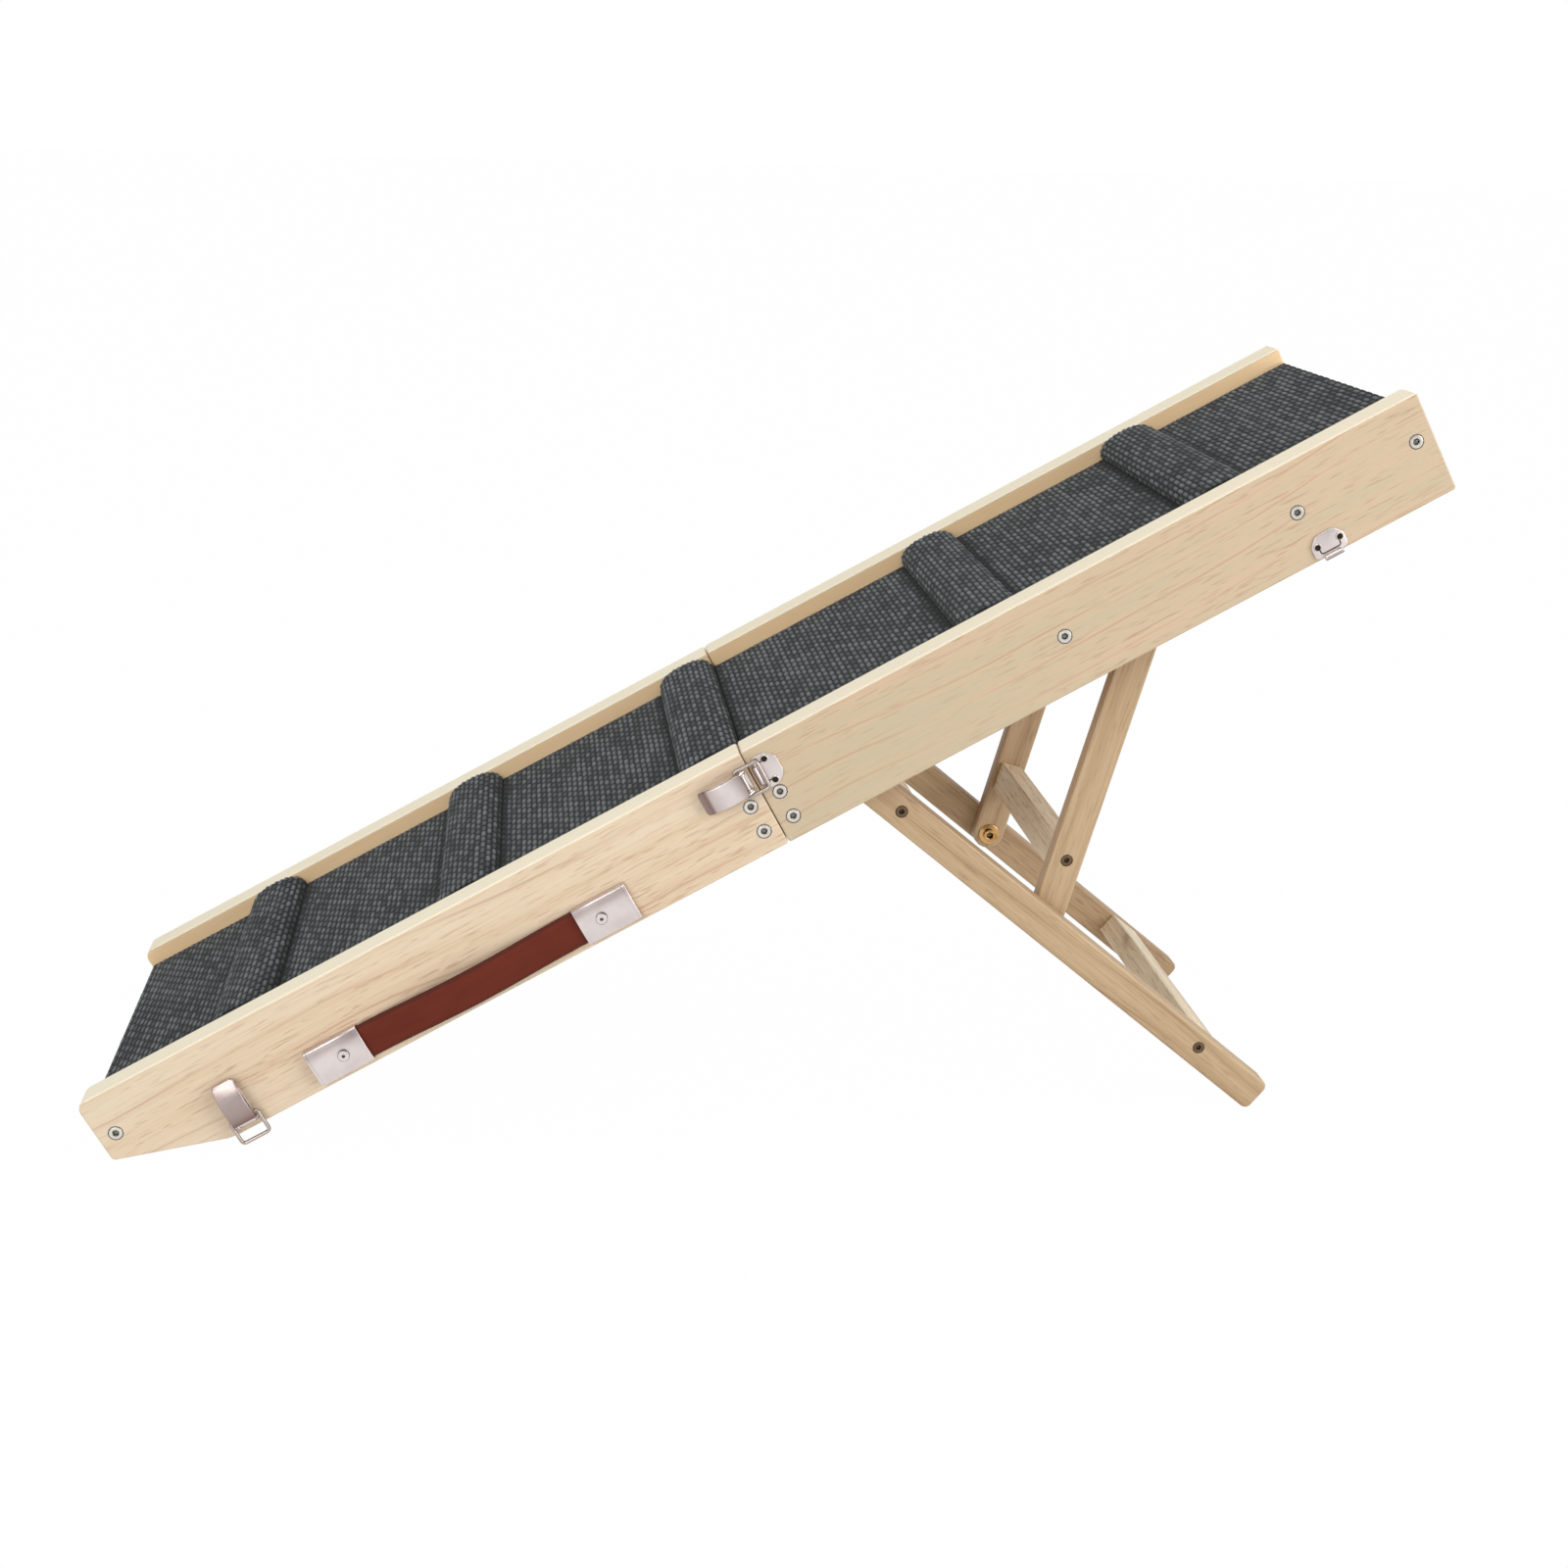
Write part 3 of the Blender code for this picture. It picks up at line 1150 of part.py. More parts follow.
def incline():
    """The tilt at which the rounded toe of the boards and the rounded feet touch one level floor."""
    corners, radii = board_outline("lower")
    toe = corner_centre(corners[-1], corners[0], corners[1], radii[0])
    inset = Vector((LEG_LENGTH - FOOT_RADIUS, -LEG_WIDTH / 2 + FOOT_RADIUS))
    foot = LEG_PIVOT + inset.x * along(LEG_ANGLE) + inset.y * along(LEG_ANGLE + math.pi / 2)
    across = Vector((foot.x - toe.x, foot.z - toe.y))
    tilt = math.asin((FOOT_RADIUS - TOE_RADIUS) / across.length) - math.atan2(across.y, across.x)
    return tilt, toe


def stand(frame):
    """Tilts the ramp frame and moves it so that its box stands on the floor, centred on the origin."""
    tilt, toe = incline()
    height = toe.x * math.sin(tilt) + toe.y * math.cos(tilt) - TOE_RADIUS
    nose = Vector((NOSE_RADIUS, BOARD_HEIGHT - NOSE_RADIUS))
    low = nose.x * math.cos(tilt) - nose.y * math.sin(tilt) - NOSE_RADIUS
    corner = BOARD_CORNER_RADIUS
    high = (RAMP_LENGTH - corner) * math.cos(tilt) - corner * math.sin(tilt) + corner
    frame.empty.rotation_euler = (0, -tilt, 0)
    frame.empty.location = (-(low + high) / 2, 0, -height)


def build():
    for obj in list(bpy.data.objects):
        bpy.data.objects.remove(obj)
    ramp = Ramp()
    frame = ramp.body("ramp_frame")
    ramp.body("upper_section", (0, 0, 0), "ramp_frame")
    ramp.body("lower_section", FOLD_AXIS, "upper_section")
    ramp.body("leg_frame", LEG_PIVOT, "upper_section")
    ramp.body("strut_frame", STRUT_PIVOT, "leg_frame")
    for section in ("lower", "upper"):
        add_boards(ramp, section)
        add_deck(ramp, section)
    add_cleats(ramp)
    add_bars(ramp)
    add_racks(ramp)
    add_hinges(ramp)
    add_leg_frame(ramp)
    add_strut_frame(ramp)
    add_frame_fasteners(ramp)
    add_latches(ramp)
    add_strap(ramp)
    add_caps(ramp)
    add_handle_screws(ramp)
    add_all_board_screws(ramp)
    stand(frame)
    bpy.context.view_layer.update()


build()
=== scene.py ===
"""Looks of a folding dog ramp: pine boards, looped carpet, a leather handle and satin draw latches.

Places are given in the ramp's own frame, as in the CAD: x up the ramp, y across it from the near side to the
far side, and z square to it. to_world turns them into the scene's frame.
"""

import json
import math

import bpy
import numpy as np
from bpy.props import FloatProperty, FloatVectorProperty, PointerProperty
from bpy.types import Operator, Panel, PropertyGroup
from mathutils import Matrix, Vector

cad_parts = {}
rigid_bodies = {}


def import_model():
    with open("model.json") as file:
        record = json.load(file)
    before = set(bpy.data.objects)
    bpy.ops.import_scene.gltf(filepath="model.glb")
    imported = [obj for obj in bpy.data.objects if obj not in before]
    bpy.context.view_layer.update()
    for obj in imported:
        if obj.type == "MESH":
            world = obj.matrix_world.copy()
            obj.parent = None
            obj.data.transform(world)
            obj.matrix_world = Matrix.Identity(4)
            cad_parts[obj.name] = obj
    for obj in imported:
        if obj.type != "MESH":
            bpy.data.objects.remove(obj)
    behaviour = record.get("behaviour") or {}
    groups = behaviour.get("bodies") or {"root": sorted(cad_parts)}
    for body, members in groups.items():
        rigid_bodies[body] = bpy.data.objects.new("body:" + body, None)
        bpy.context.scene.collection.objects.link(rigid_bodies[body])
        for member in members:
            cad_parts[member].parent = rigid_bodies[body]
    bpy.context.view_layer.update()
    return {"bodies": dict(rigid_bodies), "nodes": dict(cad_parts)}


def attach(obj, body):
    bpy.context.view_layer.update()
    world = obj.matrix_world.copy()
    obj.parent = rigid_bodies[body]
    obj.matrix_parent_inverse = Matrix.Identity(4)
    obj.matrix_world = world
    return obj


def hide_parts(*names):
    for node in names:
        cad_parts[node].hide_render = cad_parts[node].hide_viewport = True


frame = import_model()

bl_info = {
    "name": "Folding Dog Ramp",
    "version": (1, 0, 0),
    "blender": (4, 5, 0),
    "location": "View3D > Sidebar > Ramp",
    "description": "Dresses the folding dog ramp in wood, carpet, leather and metal",
    "category": "Object",
}

MM = 0.001


def mm(*lengths):
    """Millimetres as an array of metres."""
    return np.array(lengths, float) * MM


# Where the ramp stands, and the turns that lay a pattern along it or across it
TILT = math.radians(28.7047784)
RAMP_ORIGIN = np.array([-0.42224523, 0.0, -0.02287358])
RAMP_TURN = np.array([[math.cos(TILT), 0, math.sin(TILT)], [0, 1, 0], [-math.sin(TILT), 0, math.cos(TILT)]])
ALONG_RAMP = (0, TILT, 0)
ACROSS_RAMP = (0, TILT, -math.pi / 2)
LEG_ANGLE = math.radians(-68.2)
STRUT_ANGLE = math.radians(46.1)

# Sizes that the pieces share with the solids
SECTION = 500 * MM
RAMP_LENGTH = 1000 * MM
BOARD_FACE = 145 * MM
DECK_HALF = 120.7 * MM
CARPET_FOOT = 56.6 * MM
CARPET_TOP = 60 * MM
CLEAT_HALF = 22.5 * MM
CLEAT_CENTRES = mm(117, 291, 477, 689, 863)
LEG_PIVOT = mm(555, 0, 24.8)
STRUT_PIVOT_AT = 198.4 * MM
PIVOT_HEIGHT = 4.6 * MM
SHEET = 1.2 * MM
GAP = 0.3 * MM
HANDLE_START = 148 * MM
HANDLE_END = 391 * MM
HANDLE_HEIGHT = 17.5 * MM
CAP_LENGTH = 40 * MM
HANDLE_SCREW_AT = 24 * MM
HINGE_CENTRE = 70 * MM

SIDES = {"near": -1, "far": 1}


def tone(red, green, blue):
    """A colour as a screen shows it, 0 to 255, turned into the light that a shader works with."""
    shares = np.array([red, green, blue]) / 255
    return tuple(np.where(shares > 0.04045, ((shares + 0.055) / 1.055) ** 2.4, shares / 12.92).tolist())


def colour_prop(name, description, default):
    return FloatVectorProperty(name=name, description=description, default=default, subtype="COLOR", size=3,
                               min=0, max=1)


def length_prop(name, description, default):
    return FloatProperty(name=name, description=description, default=default, unit="LENGTH", min=0)


class RampWoodSettings(PropertyGroup):
    board_pale: colour_prop("Board, pale wood", "The wood between the grain lines", tone(231, 214, 187))
    board_deep: colour_prop("Board, grain", "The late wood of the grain lines", tone(217, 186, 154))
    board_streak: colour_prop("Board, flecks", "The fine growth lines and resin flecks", tone(172, 128, 98))
    # Painted highlight: the top edges are paler where the light falls on them from above
    board_top_highlight: colour_prop("Board, edges", "The sanded top edges of the boards", tone(252, 243, 218))
    # Painted shade: the upper boards are darker, as the light falls off towards the ramp's upper end
    upper_pale_shaded: colour_prop("Upper boards, pale wood", "The upper boards' deeper wood", tone(200, 184, 155))
    # Painted light: the inner faces are warmer and brighter, as warm light bounces between the boards
    board_inside_bounce_light: colour_prop("Board, inner faces", "The boards' warmer inner faces", tone(255, 218, 168))
    frame_pale: colour_prop("Legs, pale wood", "The legs' and struts' wood", tone(200, 173, 137))
    frame_deep: colour_prop("Legs, grain", "The grain lines of the legs and struts", tone(164, 130, 94))
    # The cross-bars' pale wood, made paler still as painted light where the deck above shades them
    rung_pale_and_lit: colour_prop("Rungs", "The pale cross-bars of the legs and struts", tone(252, 238, 210))
    plywood: colour_prop("Plywood", "The deck panels' veneer", tone(205, 172, 128))
    relief: length_prop("Relief", "How deep the grain is felt", 0.12 * MM)


class RampCarpetSettings(PropertyGroup):
    # The charcoal yarn, darkened to this by painted shade in the gaps between the loops
    yarn_dark_and_shaded: colour_prop("Yarn, dark", "The yarn down between the loops", tone(22, 24, 26))
    # Painted highlight: the yarn pales to this on the loops' crests
    yarn_pale_and_lit: colour_prop("Yarn, pale", "The loops' light crests", tone(112, 117, 118))
    row: length_prop("Row pitch", "From one row of loops to the next", 4.2 * MM)
    loop: length_prop("Loop pitch", "From one loop to the next in its row", 11.5 * MM)
    height: length_prop("Loop height", "How far a loop stands up", 1.1 * MM)
    dome: length_prop("Cleat height", "How high a cleat's crown stands over the carpet", 13.2 * MM)


class RampHandleSettings(PropertyGroup):
    leather: colour_prop("Leather", "The strap's colour", tone(104, 38, 21))
    leather_edge: colour_prop("Leather, edges", "The strap's burnished edges", tone(80, 31, 22))
    bow: length_prop("Bow", "How far the strap stands off the board", 5.2 * MM)


class RampMetalSettings(PropertyGroup):
    nickel: colour_prop("Nickel", "Latches and handle caps", tone(226, 216, 214))
    steel: colour_prop("Steel", "Bails and the boards' screws", tone(224, 220, 212))
    bronze: colour_prop("Bronze", "The screws of the legs and struts", tone(116, 96, 74))
    brass: colour_prop("Brass", "The pivot bolts", tone(205, 160, 104))


class RampStageSettings(PropertyGroup):
    floor: colour_prop("Floor", "The studio floor, as the ramp's underside sees it", (0.6, 0.59, 0.57))
    room_light: FloatProperty(name="Room light", description="Strength of the light from all round",
                              default=0.46, min=0, max=4)
    lamp_power: FloatProperty(name="Lamp power",
                              description="Power of the lamp overhead, to which the others are tied",
                              default=29, min=0, max=1000, unit="POWER")


# Surfaces

def to_world(points):
    """Turns points of the ramp's frame by its tilt and moves them to where it stands."""
    return points @ RAMP_TURN + RAMP_ORIGIN


def along(angle):
    return np.array([math.cos(angle), 0, math.sin(angle)])


STRUT_PIVOT = LEG_PIVOT + STRUT_PIVOT_AT * along(LEG_ANGLE)


def grid(*coordinates):
    """Points whose coordinates are spread over each other's rows and columns."""
    return np.stack(np.broadcast_arrays(*coordinates), -1)


def lifted(flat, height):
    return grid(flat[..., 0], flat[..., 1], height)


def mirrored(half):
    """An outline that runs on from its half, back over the same points with y turned over."""
    return np.concatenate([half, np.array(half)[::-1] * [1, -1]])


def unit(vectors):
    return vectors / np.linalg.norm(vectors, axis=-1, keepdims=True)


def arc(centre, radius, start, end, count):
    """Points of centre + radius (cos a, sin a), with a from start to end in half turns."""
    angles = math.pi * np.linspace(start, end, count)
    return np.array(centre) + radius * grid(np.cos(angles), np.sin(angles))


def all_round(count):
    """Angles all round a turn, in equal steps."""
    return np.linspace(0, 2 * math.pi, count, endpoint=False)


def six_volumes(first, second, third):
    return np.sum(np.cross(first, second) * third)


def closed_body(rings, start):
    """The surface over (ring, place in the ring) through rows of points, capped flat at both ends.

    Its points are numbered from start. The signed volume, a sum of a . (b x c) over its triangles, tells
    whether the faces have to be turned over.
    """
    count, size, _ = rings.shape
    base = np.arange(count - 1)[:, None] * size
    here = np.arange(size)
    ahead = (here + 1) % size
    quads = grid(base + here, base + ahead, base + size + ahead, base + size + here).reshape(-1, 4)
    caps = here[::-1], here + (count - 1) * size
    points = to_world(rings.reshape(-1, 3))
    centred = points - points.mean(0)
    a, b, c, d = centred[quads.T]
    volume = six_volumes(a, b, c) + six_volumes(a, c, d)
    for cap in caps:
        rim = centred[cap]
        volume += six_volumes(np.broadcast_to(rim.mean(0), rim.shape), rim, np.roll(rim, -1, 0))
    way = -1 if volume < 0 else 1
    return points, (quads[:, ::way] + start).tolist() + [(cap[::way] + start).tolist() for cap in caps]


def mesh_of(*bodies, sharp=35, **values):
    """One mesh of closed bodies, each given as rings.

    A value, such as how high a loop stands, is a list of one number or array for each body.
    """
    points, faces, start = [], [], 0
    for rings in bodies:
        own, own_faces = closed_body(rings, start)
        points.append(own)
        faces += own_faces
        start += len(own)
    mesh = bpy.data.meshes.new("surface")
    mesh.from_pydata(np.concatenate(points).tolist(), [], faces)
    for name, given in values.items():
        flat = [np.broadcast_to(value, rings.shape[:2]).ravel() for value, rings in zip(given, bodies)]
        layer = mesh.attributes.new(name, "FLOAT", "POINT")
        layer.data.foreach_set("value", np.concatenate(flat).astype(np.float32))
    mesh.shade_smooth()
    if sharp:
        mesh.set_sharp_from_angle(angle=math.radians(sharp))
    return mesh


def linked(name, data):
    """A new object in the scene, for a mesh, a lamp or a camera."""
    made = bpy.data.objects.new(name, data)
    bpy.context.scene.collection.objects.link(made)
    return made


def put(name, mesh, body, material, slot, *replaced):
    """Shows a mesh as a piece that rides on a body, and hides the solids that it stands for."""
    mesh.name = name
    mesh.materials.append(material)
    made = linked(name, mesh)
    if replaced:
        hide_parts(*replaced)
    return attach(made, body)


def dress(material, *nodes):
    """Gives solids that stay in view their material."""
    for node in nodes:
        mesh = frame["nodes"][node].data
        mesh.materials.clear()
        mesh.materials.append(material)


def rounded(corners, radii, steps=6):
    """The closed outline of corners whose tips are arcs: at each one, centre + radius (cos a, sin a)."""
    corners = np.array(corners, float)
    back = unit(np.roll(corners, 1, 0) - corners)
    ahead = unit(np.roll(corners, -1, 0) - corners)
    half = np.arccos(np.clip(np.sum(back * ahead, 1), -1, 1)) / 2
    centre = corners + unit(back + ahead) * (radii / np.sin(half))[:, None]
    start = np.arctan2(-back[:, 1], -back[:, 0]) - math.pi / 2
    angles = start[:, None] + (math.pi - 2 * half)[:, None] * np.linspace(0, 1, steps + 1)
    return (centre[:, None] + radii[:, None, None] * grid(np.cos(angles), np.sin(angles))).reshape(-1, 2)


def rounded_box(low, high, radii, steps=6):
    return rounded([(low[0], low[1]), (high[0], low[1]), (high[0], high[1]), (low[0], high[1])], radii, steps)


def filled(step, first, *others):
    """Matching outlines with their sides cut into pieces of about a step, at the same shares of each side."""
    gap = np.linalg.norm(np.roll(first, -1, 0) - first, axis=1)
    cuts = np.maximum(1, np.round(gap / step)).astype(int)
    index = np.repeat(np.arange(len(first)), cuts)
    share = ((np.arange(len(index)) - np.repeat(np.cumsum(cuts) - cuts, cuts)) / cuts[index])[:, None]
    return [line[index] + share * (np.roll(line, -1, 0)[index] - line[index]) for line in (first, *others)]


def outward(outline):
    """The unit normals of an anticlockwise outline: the chord between neighbours, turned by a right angle."""
    chord = np.roll(outline, -1, 0) - np.roll(outline, 1, 0)
    return unit(grid(chord[:, 1], -chord[:, 0]))


def eased(ease, steps):
    """A rim's quarter circle: how far in, ease (1 - sin a), and how far from the end, ease (1 - cos a)."""
    turn = np.linspace(0, math.pi / 2, steps + 1)
    return ease * (1 - np.sin(turn)), ease * (1 - np.cos(turn))


def plate(outline, low, high, ease, steps=3):
    """A plate over (height, outline), whose outline draws in by a quarter circle at both rims."""
    inset, rise = eased(ease, steps)
    heights = np.concatenate([low + rise, high - rise[::-1]])
    insets = np.concatenate([inset, inset[::-1]])
    return lifted(outline - insets[:, None, None] * outward(outline), heights[:, None])


def turned(profile, sides=40, flats=0):
    """Rings of (radius, height) points turned round z.

    The first rings, flats of them, are hexagons: their radius is divided by the cosine of the angle from the
    middle of the nearest flat.
    """
    radii, heights = np.array(profile, float).T[..., None]
    angles = all_round(sides)
    reach = np.repeat(radii, sides, 1)
    reach[:flats] /= np.cos((angles + math.pi / 6) % (math.pi / 3) - math.pi / 6)
    return grid(reach * np.cos(angles), reach * np.sin(angles), heights)


def set_at(points, place, first, second, third):
    """Puts a body's own x, y and z along three directions of the ramp, from a place."""
    return points @ np.array([first, second, third], float) + np.array(place, float)


def facing(points, place, out):
    """Puts a turned body at a place, with its axis along out, which is a direction across the ramp."""
    up = (0, 0, 1)
    return set_at(points, place, up, np.cross(out, up), out)


def wire(path, radius, sides):
    """A wire along a flat path: at each point, radius (cos a sideways + sin a up)."""
    ahead = unit(np.gradient(path, axis=0))
    sideways = grid(-ahead[:, 1], ahead[:, 0], 0)[:, None]
    angles = all_round(sides)[:, None]
    return path[:, None] + radius * (np.cos(angles) * sideways + np.sin(angles) * [0, 0, 1])


# Node trees

class Tree:
    """Short ways to add and join the nodes of a material or a group."""

    def __init__(self, tree):
        self.nodes = tree.nodes
        self.links = tree.links

    def add(self, kind, **fields):
        node = self.nodes.new(kind)
        for name, value in fields.items():
            setattr(node, name, value)
        return node

    def feed(self, socket, value):
        if isinstance(value, bpy.types.NodeSocket):
            self.links.new(value, socket)
        elif socket.type == "RGBA":
            socket.default_value = (*value, 1)
        else:
            socket.default_value = value

    def made(self, node, values, output=0):
        """Feeds the inputs of a node by their names or numbers, and gives its output."""
        for name, value in values.items():
            self.feed(node.inputs[name], value)
        return node.outputs[output]

    def math(self, operation, *given):
        return self.made(self.add("ShaderNodeMath", operation=operation), dict(enumerate(given)))

    def times(self, first, second):
        return self.math("MULTIPLY", first, second)

    def plus(self, first, second):
        return self.math("ADD", first, second)

    def noise(self, vector, *packed, scale=1.0, detail=2.0, roughness=0.5):
        """Noise, packed closer along x, y and z by the three numbers of packed if they are given."""
        if packed:
            vector = self.made(self.add("ShaderNodeVectorMath", operation="MULTIPLY"), {0: vector, 1: packed})
        return self.made(self.add("ShaderNodeTexNoise"),
                         {"Vector": vector, "Scale": scale, "Detail": detail, "Roughness": roughness})

    def stretch(self, value, low, high, to_low=0.0, to_high=1.0):
        return self.made(self.add("ShaderNodeMapRange"), dict(enumerate((value, low, high, to_low, to_high))))

    def mix(self, share, first, second):
        return self.made(self.add("ShaderNodeMix", data_type="RGBA"), {0: share, 6: first, 7: second}, 2)

    def parts(self, vector):
        """The x, y and z of a vector, by their names."""
        node = self.add("ShaderNodeSeparateXYZ")
        self.feed(node.inputs[0], vector)
        return node.outputs

    def attribute(self, name):
        return self.add("ShaderNodeAttribute", attribute_name=name).outputs["Fac"]

    def place(self, rotation=ALONG_RAMP, shift=(0, 0, 0)):
        """Object coordinates, turned so that a pattern lies along the piece."""
        spot = self.add("ShaderNodeTexCoord").outputs["Object"]
        return self.made(self.add("ShaderNodeMapping"),
                         {"Vector": spot, "Rotation": rotation, "Location": shift})

    def group(self, name, *given):
        """The outputs of a node group, which is given its inputs in their order."""
        node = self.add("ShaderNodeGroup", node_tree=shared_group(name))
        self.made(node, dict(enumerate(given)))
        return node.outputs

    def paint(self, values, height=None, relief=0.0):
        """Feeds the shader of a material, and bumps it by a height that is relief deep."""
        shader = self.nodes["Principled BSDF"]
        if height is not None:
            bump = self.made(self.add("ShaderNodeBump"), {"Distance": relief, "Height": height})
            values = {**values, "Normal": bump}
        return self.made(shader, values)


def pine_grain(tree, vector, pale, deep, streak, flecks, rings):
    """Pine along x: wavy growth rings, long fine fibres, broad patches and short resin flecks."""
    parts = tree.parts(vector)
    broad = tree.noise(vector, 3, 22, 22, detail=3)
    warp = tree.noise(vector, 2.2, 5, 5)
    fibre = tree.noise(vector, 9, 900, 900)
    fleck = tree.noise(vector, 60, 720, 720, detail=1)
    stroke = tree.noise(vector, 7, 90, 90, detail=1)
    cross = tree.math("MULTIPLY_ADD", parts["Y"], 0.35, parts["Z"])
    phase = tree.math("MULTIPLY_ADD", warp, 26.0, tree.times(cross, rings))
    wave = tree.math("MULTIPLY_ADD", tree.math("SINE", phase), 0.5, 0.5)
    ring = tree.math("POWER", wave, 2.2)
    line = tree.times(tree.math("POWER", wave, 70.0), tree.stretch(stroke, 0.4, 0.62))
    patch = tree.stretch(broad, 0.38, 0.66)
    share = tree.plus(tree.times(ring, 0.22), tree.times(patch, 0.4))
    share = tree.plus(share, tree.stretch(fibre, 0.3, 0.7, -0.12, 0.3))
    body = tree.mix(tree.math("MINIMUM", share, 1.0), pale, deep)
    where = tree.times(tree.stretch(fleck, 0.57, 0.72), tree.stretch(broad, 0.36, 0.6, 0.3, 1.0))
    where = tree.math("MAXIMUM", where, tree.times(line, 0.9))
    height = tree.math("MULTIPLY_ADD", ring, -0.25, fibre)
    return {"Color": tree.mix(tree.times(where, flecks), body, streak),
            "Roughness": tree.stretch(fibre, 0.3, 0.7, 0.46, 0.62),
            "Height": tree.math("SUBTRACT", height, tree.times(where, 0.5))}


def board_painted_light(tree, colour, vector, edge, inside):
    """The boards' painted light: pale over z = 71 mm, a painted highlight where light falls on the top edges,
    and warmer and deeper inside |y| = 122 mm, painted bounce light on the inner faces.
    """
    parts = tree.parts(vector)
    # Painted highlight on the top edges, and below it painted warm bounce light on the inner faces
    top = tree.stretch(parts["Z"], 70.8 * MM, 71.7 * MM, 0.0, 0.82)
    inner = tree.stretch(tree.math("ABSOLUTE", parts["Y"]), 122.5 * MM, 121.3 * MM, 0.0, 0.85)
    below = tree.stretch(parts["Z"], 71.2 * MM, 70.2 * MM)
    return {"Color": tree.mix(top, tree.mix(tree.times(inner, below), colour, inside), edge)}


def satin_metal(tree, vector, tint, tarnish, wear, polish):
    """Satin metal: fine brushing along x, soft cloudy tarnish and small specks."""
    brush = tree.noise(vector, 160, 2600, 2600)
    cloud = tree.noise(vector, scale=90, detail=3)
    speck = tree.noise(vector, scale=1500, detail=1)
    share = tree.times(tree.stretch(cloud, 0.42, 0.72), wear)
    share = tree.plus(share, tree.stretch(speck, 0.66, 0.74, 0.0, 0.25))
    rough = tree.plus(polish, tree.stretch(brush, 0.3, 0.7, -0.05, 0.08))
    return {"Color": tree.mix(share, tint, tarnish), "Roughness": tree.plus(rough, tree.times(share, 0.12)),
            "Height": brush}


def carpet_yarn(tree, vector, pile, dark, light):
    """Carpet yarn: painted highlight on the crests, painted shade in the gaps, and fine fibres that lie over
    both.
    """
    fuzz = tree.noise(vector, scale=1900, detail=3, roughness=0.7)
    patch = tree.noise(vector, scale=24)
    # Painted highlight on the loops' crests and painted shade in the gaps between them, with fibre and patch
    # tones over it
    crest = tree.plus(pile, tree.stretch(fuzz, 0.3, 0.7, -0.3, 0.3))
    crest = tree.plus(crest, tree.stretch(patch, 0.35, 0.65, -0.08, 0.08))
    return {"Color": tree.mix(tree.stretch(crest, 0.3, 1.2), dark, light), "Height": fuzz}


# Each node group's inputs, in the order of its function's, and the function that draws it
GROUPS = {
    "pine_grain": ("Vector Pale Deep Streak Flecks Rings", pine_grain),
    "board_painted_light": ("Color Vector Edge Inside", board_painted_light),
    "satin_metal": ("Vector Tint Tarnish Wear Polish", satin_metal),
    "carpet_yarn": ("Vector Pile Dark Light", carpet_yarn),
}
SOCKET_KINDS = {"Vector": "NodeSocketVector", **dict.fromkeys(
    ("Flecks", "Rings", "Wear", "Polish", "Pile", "Roughness", "Height"), "NodeSocketFloat")}


def add_sockets(group, labels, way):
    """Gives a group's sockets their names and kinds. Those outside SOCKET_KINDS are colours."""
    for label in labels:
        kind = SOCKET_KINDS.get(label, "NodeSocketColor")
        group.interface.new_socket(name=label, in_out=way, socket_type=kind)


def shared_group(name):
    """A node group, drawn the first time that it is asked for."""
    if name in bpy.data.node_groups:
        return bpy.data.node_groups[name]
    labels, draw = GROUPS[name]
    group = bpy.data.node_groups.new(name, "ShaderNodeTree")
    tree = Tree(group)
    add_sockets(group, labels.split(), "INPUT")
    given = tree.add("NodeGroupInput").outputs
    drawn = draw(tree, *(given[label] for label in labels.split()))
    add_sockets(group, drawn, "OUTPUT")
    out = tree.add("NodeGroupOutput").inputs
    for label, value in drawn.items():
        tree.feed(out[label], value)
    return group


def new_material(name):
    made = bpy.data.materials.new(name)
    made.use_nodes = True
    return made, Tree(made.node_tree)


def wood(name, rotation, shift, tones, flecks=0.5, rings=340.0, faces=()):
    """A pine material whose grain runs along the direction that rotation turns to x.

    tones are those of its pale wood, its deep wood and its streaks, and faces those of the painted highlight
    on the boards' top edges and the painted warm bounce light on their inner faces.
    """
    made, tree = new_material(name)
    outs = tree.group("pine_grain", tree.place(rotation, shift), *tones, flecks, rings)
    colour = outs["Color"]
    if faces:
        spot = tree.place(shift=tuple(-RAMP_TURN @ RAMP_ORIGIN))
        # Painted light on the boards: a highlight on their top edges and warm bounce light on their inner
        # faces
        colour = tree.group("board_painted_light", colour, spot, *faces)["Color"]
    tree.paint({"Base Color": colour, "Roughness": outs["Roughness"], "Coat Weight": 0.08,
                "Coat Roughness": 0.35}, outs["Height"], bpy.context.scene.ramp_wood.relief)
    return made


# Each metal's material, slot, tarnish, polish and wear
METALS = {
    "nickel": ("satin_nickel", "nickel", tone(196, 180, 178), 0.3, 0.3),
    "steel": ("zinc_plated_steel", "nickel", tone(150, 142, 128), 0.26, 0.25),
    "bronze": ("dark_bronze_screws", "brass_bolt", tone(70, 54, 42), 0.34, 0.25),
    "brass": ("yellow_bolts", "brass_bolt", tone(130, 92, 58), 0.22, 0.25),
}
# What a metal turns into under full painted shade and reflection, brown as they mirror the wood, and under
# full painted shade in its hollows
SHADED = tone(128, 100, 92)
RECESS_SHADE = tone(52, 46, 40)


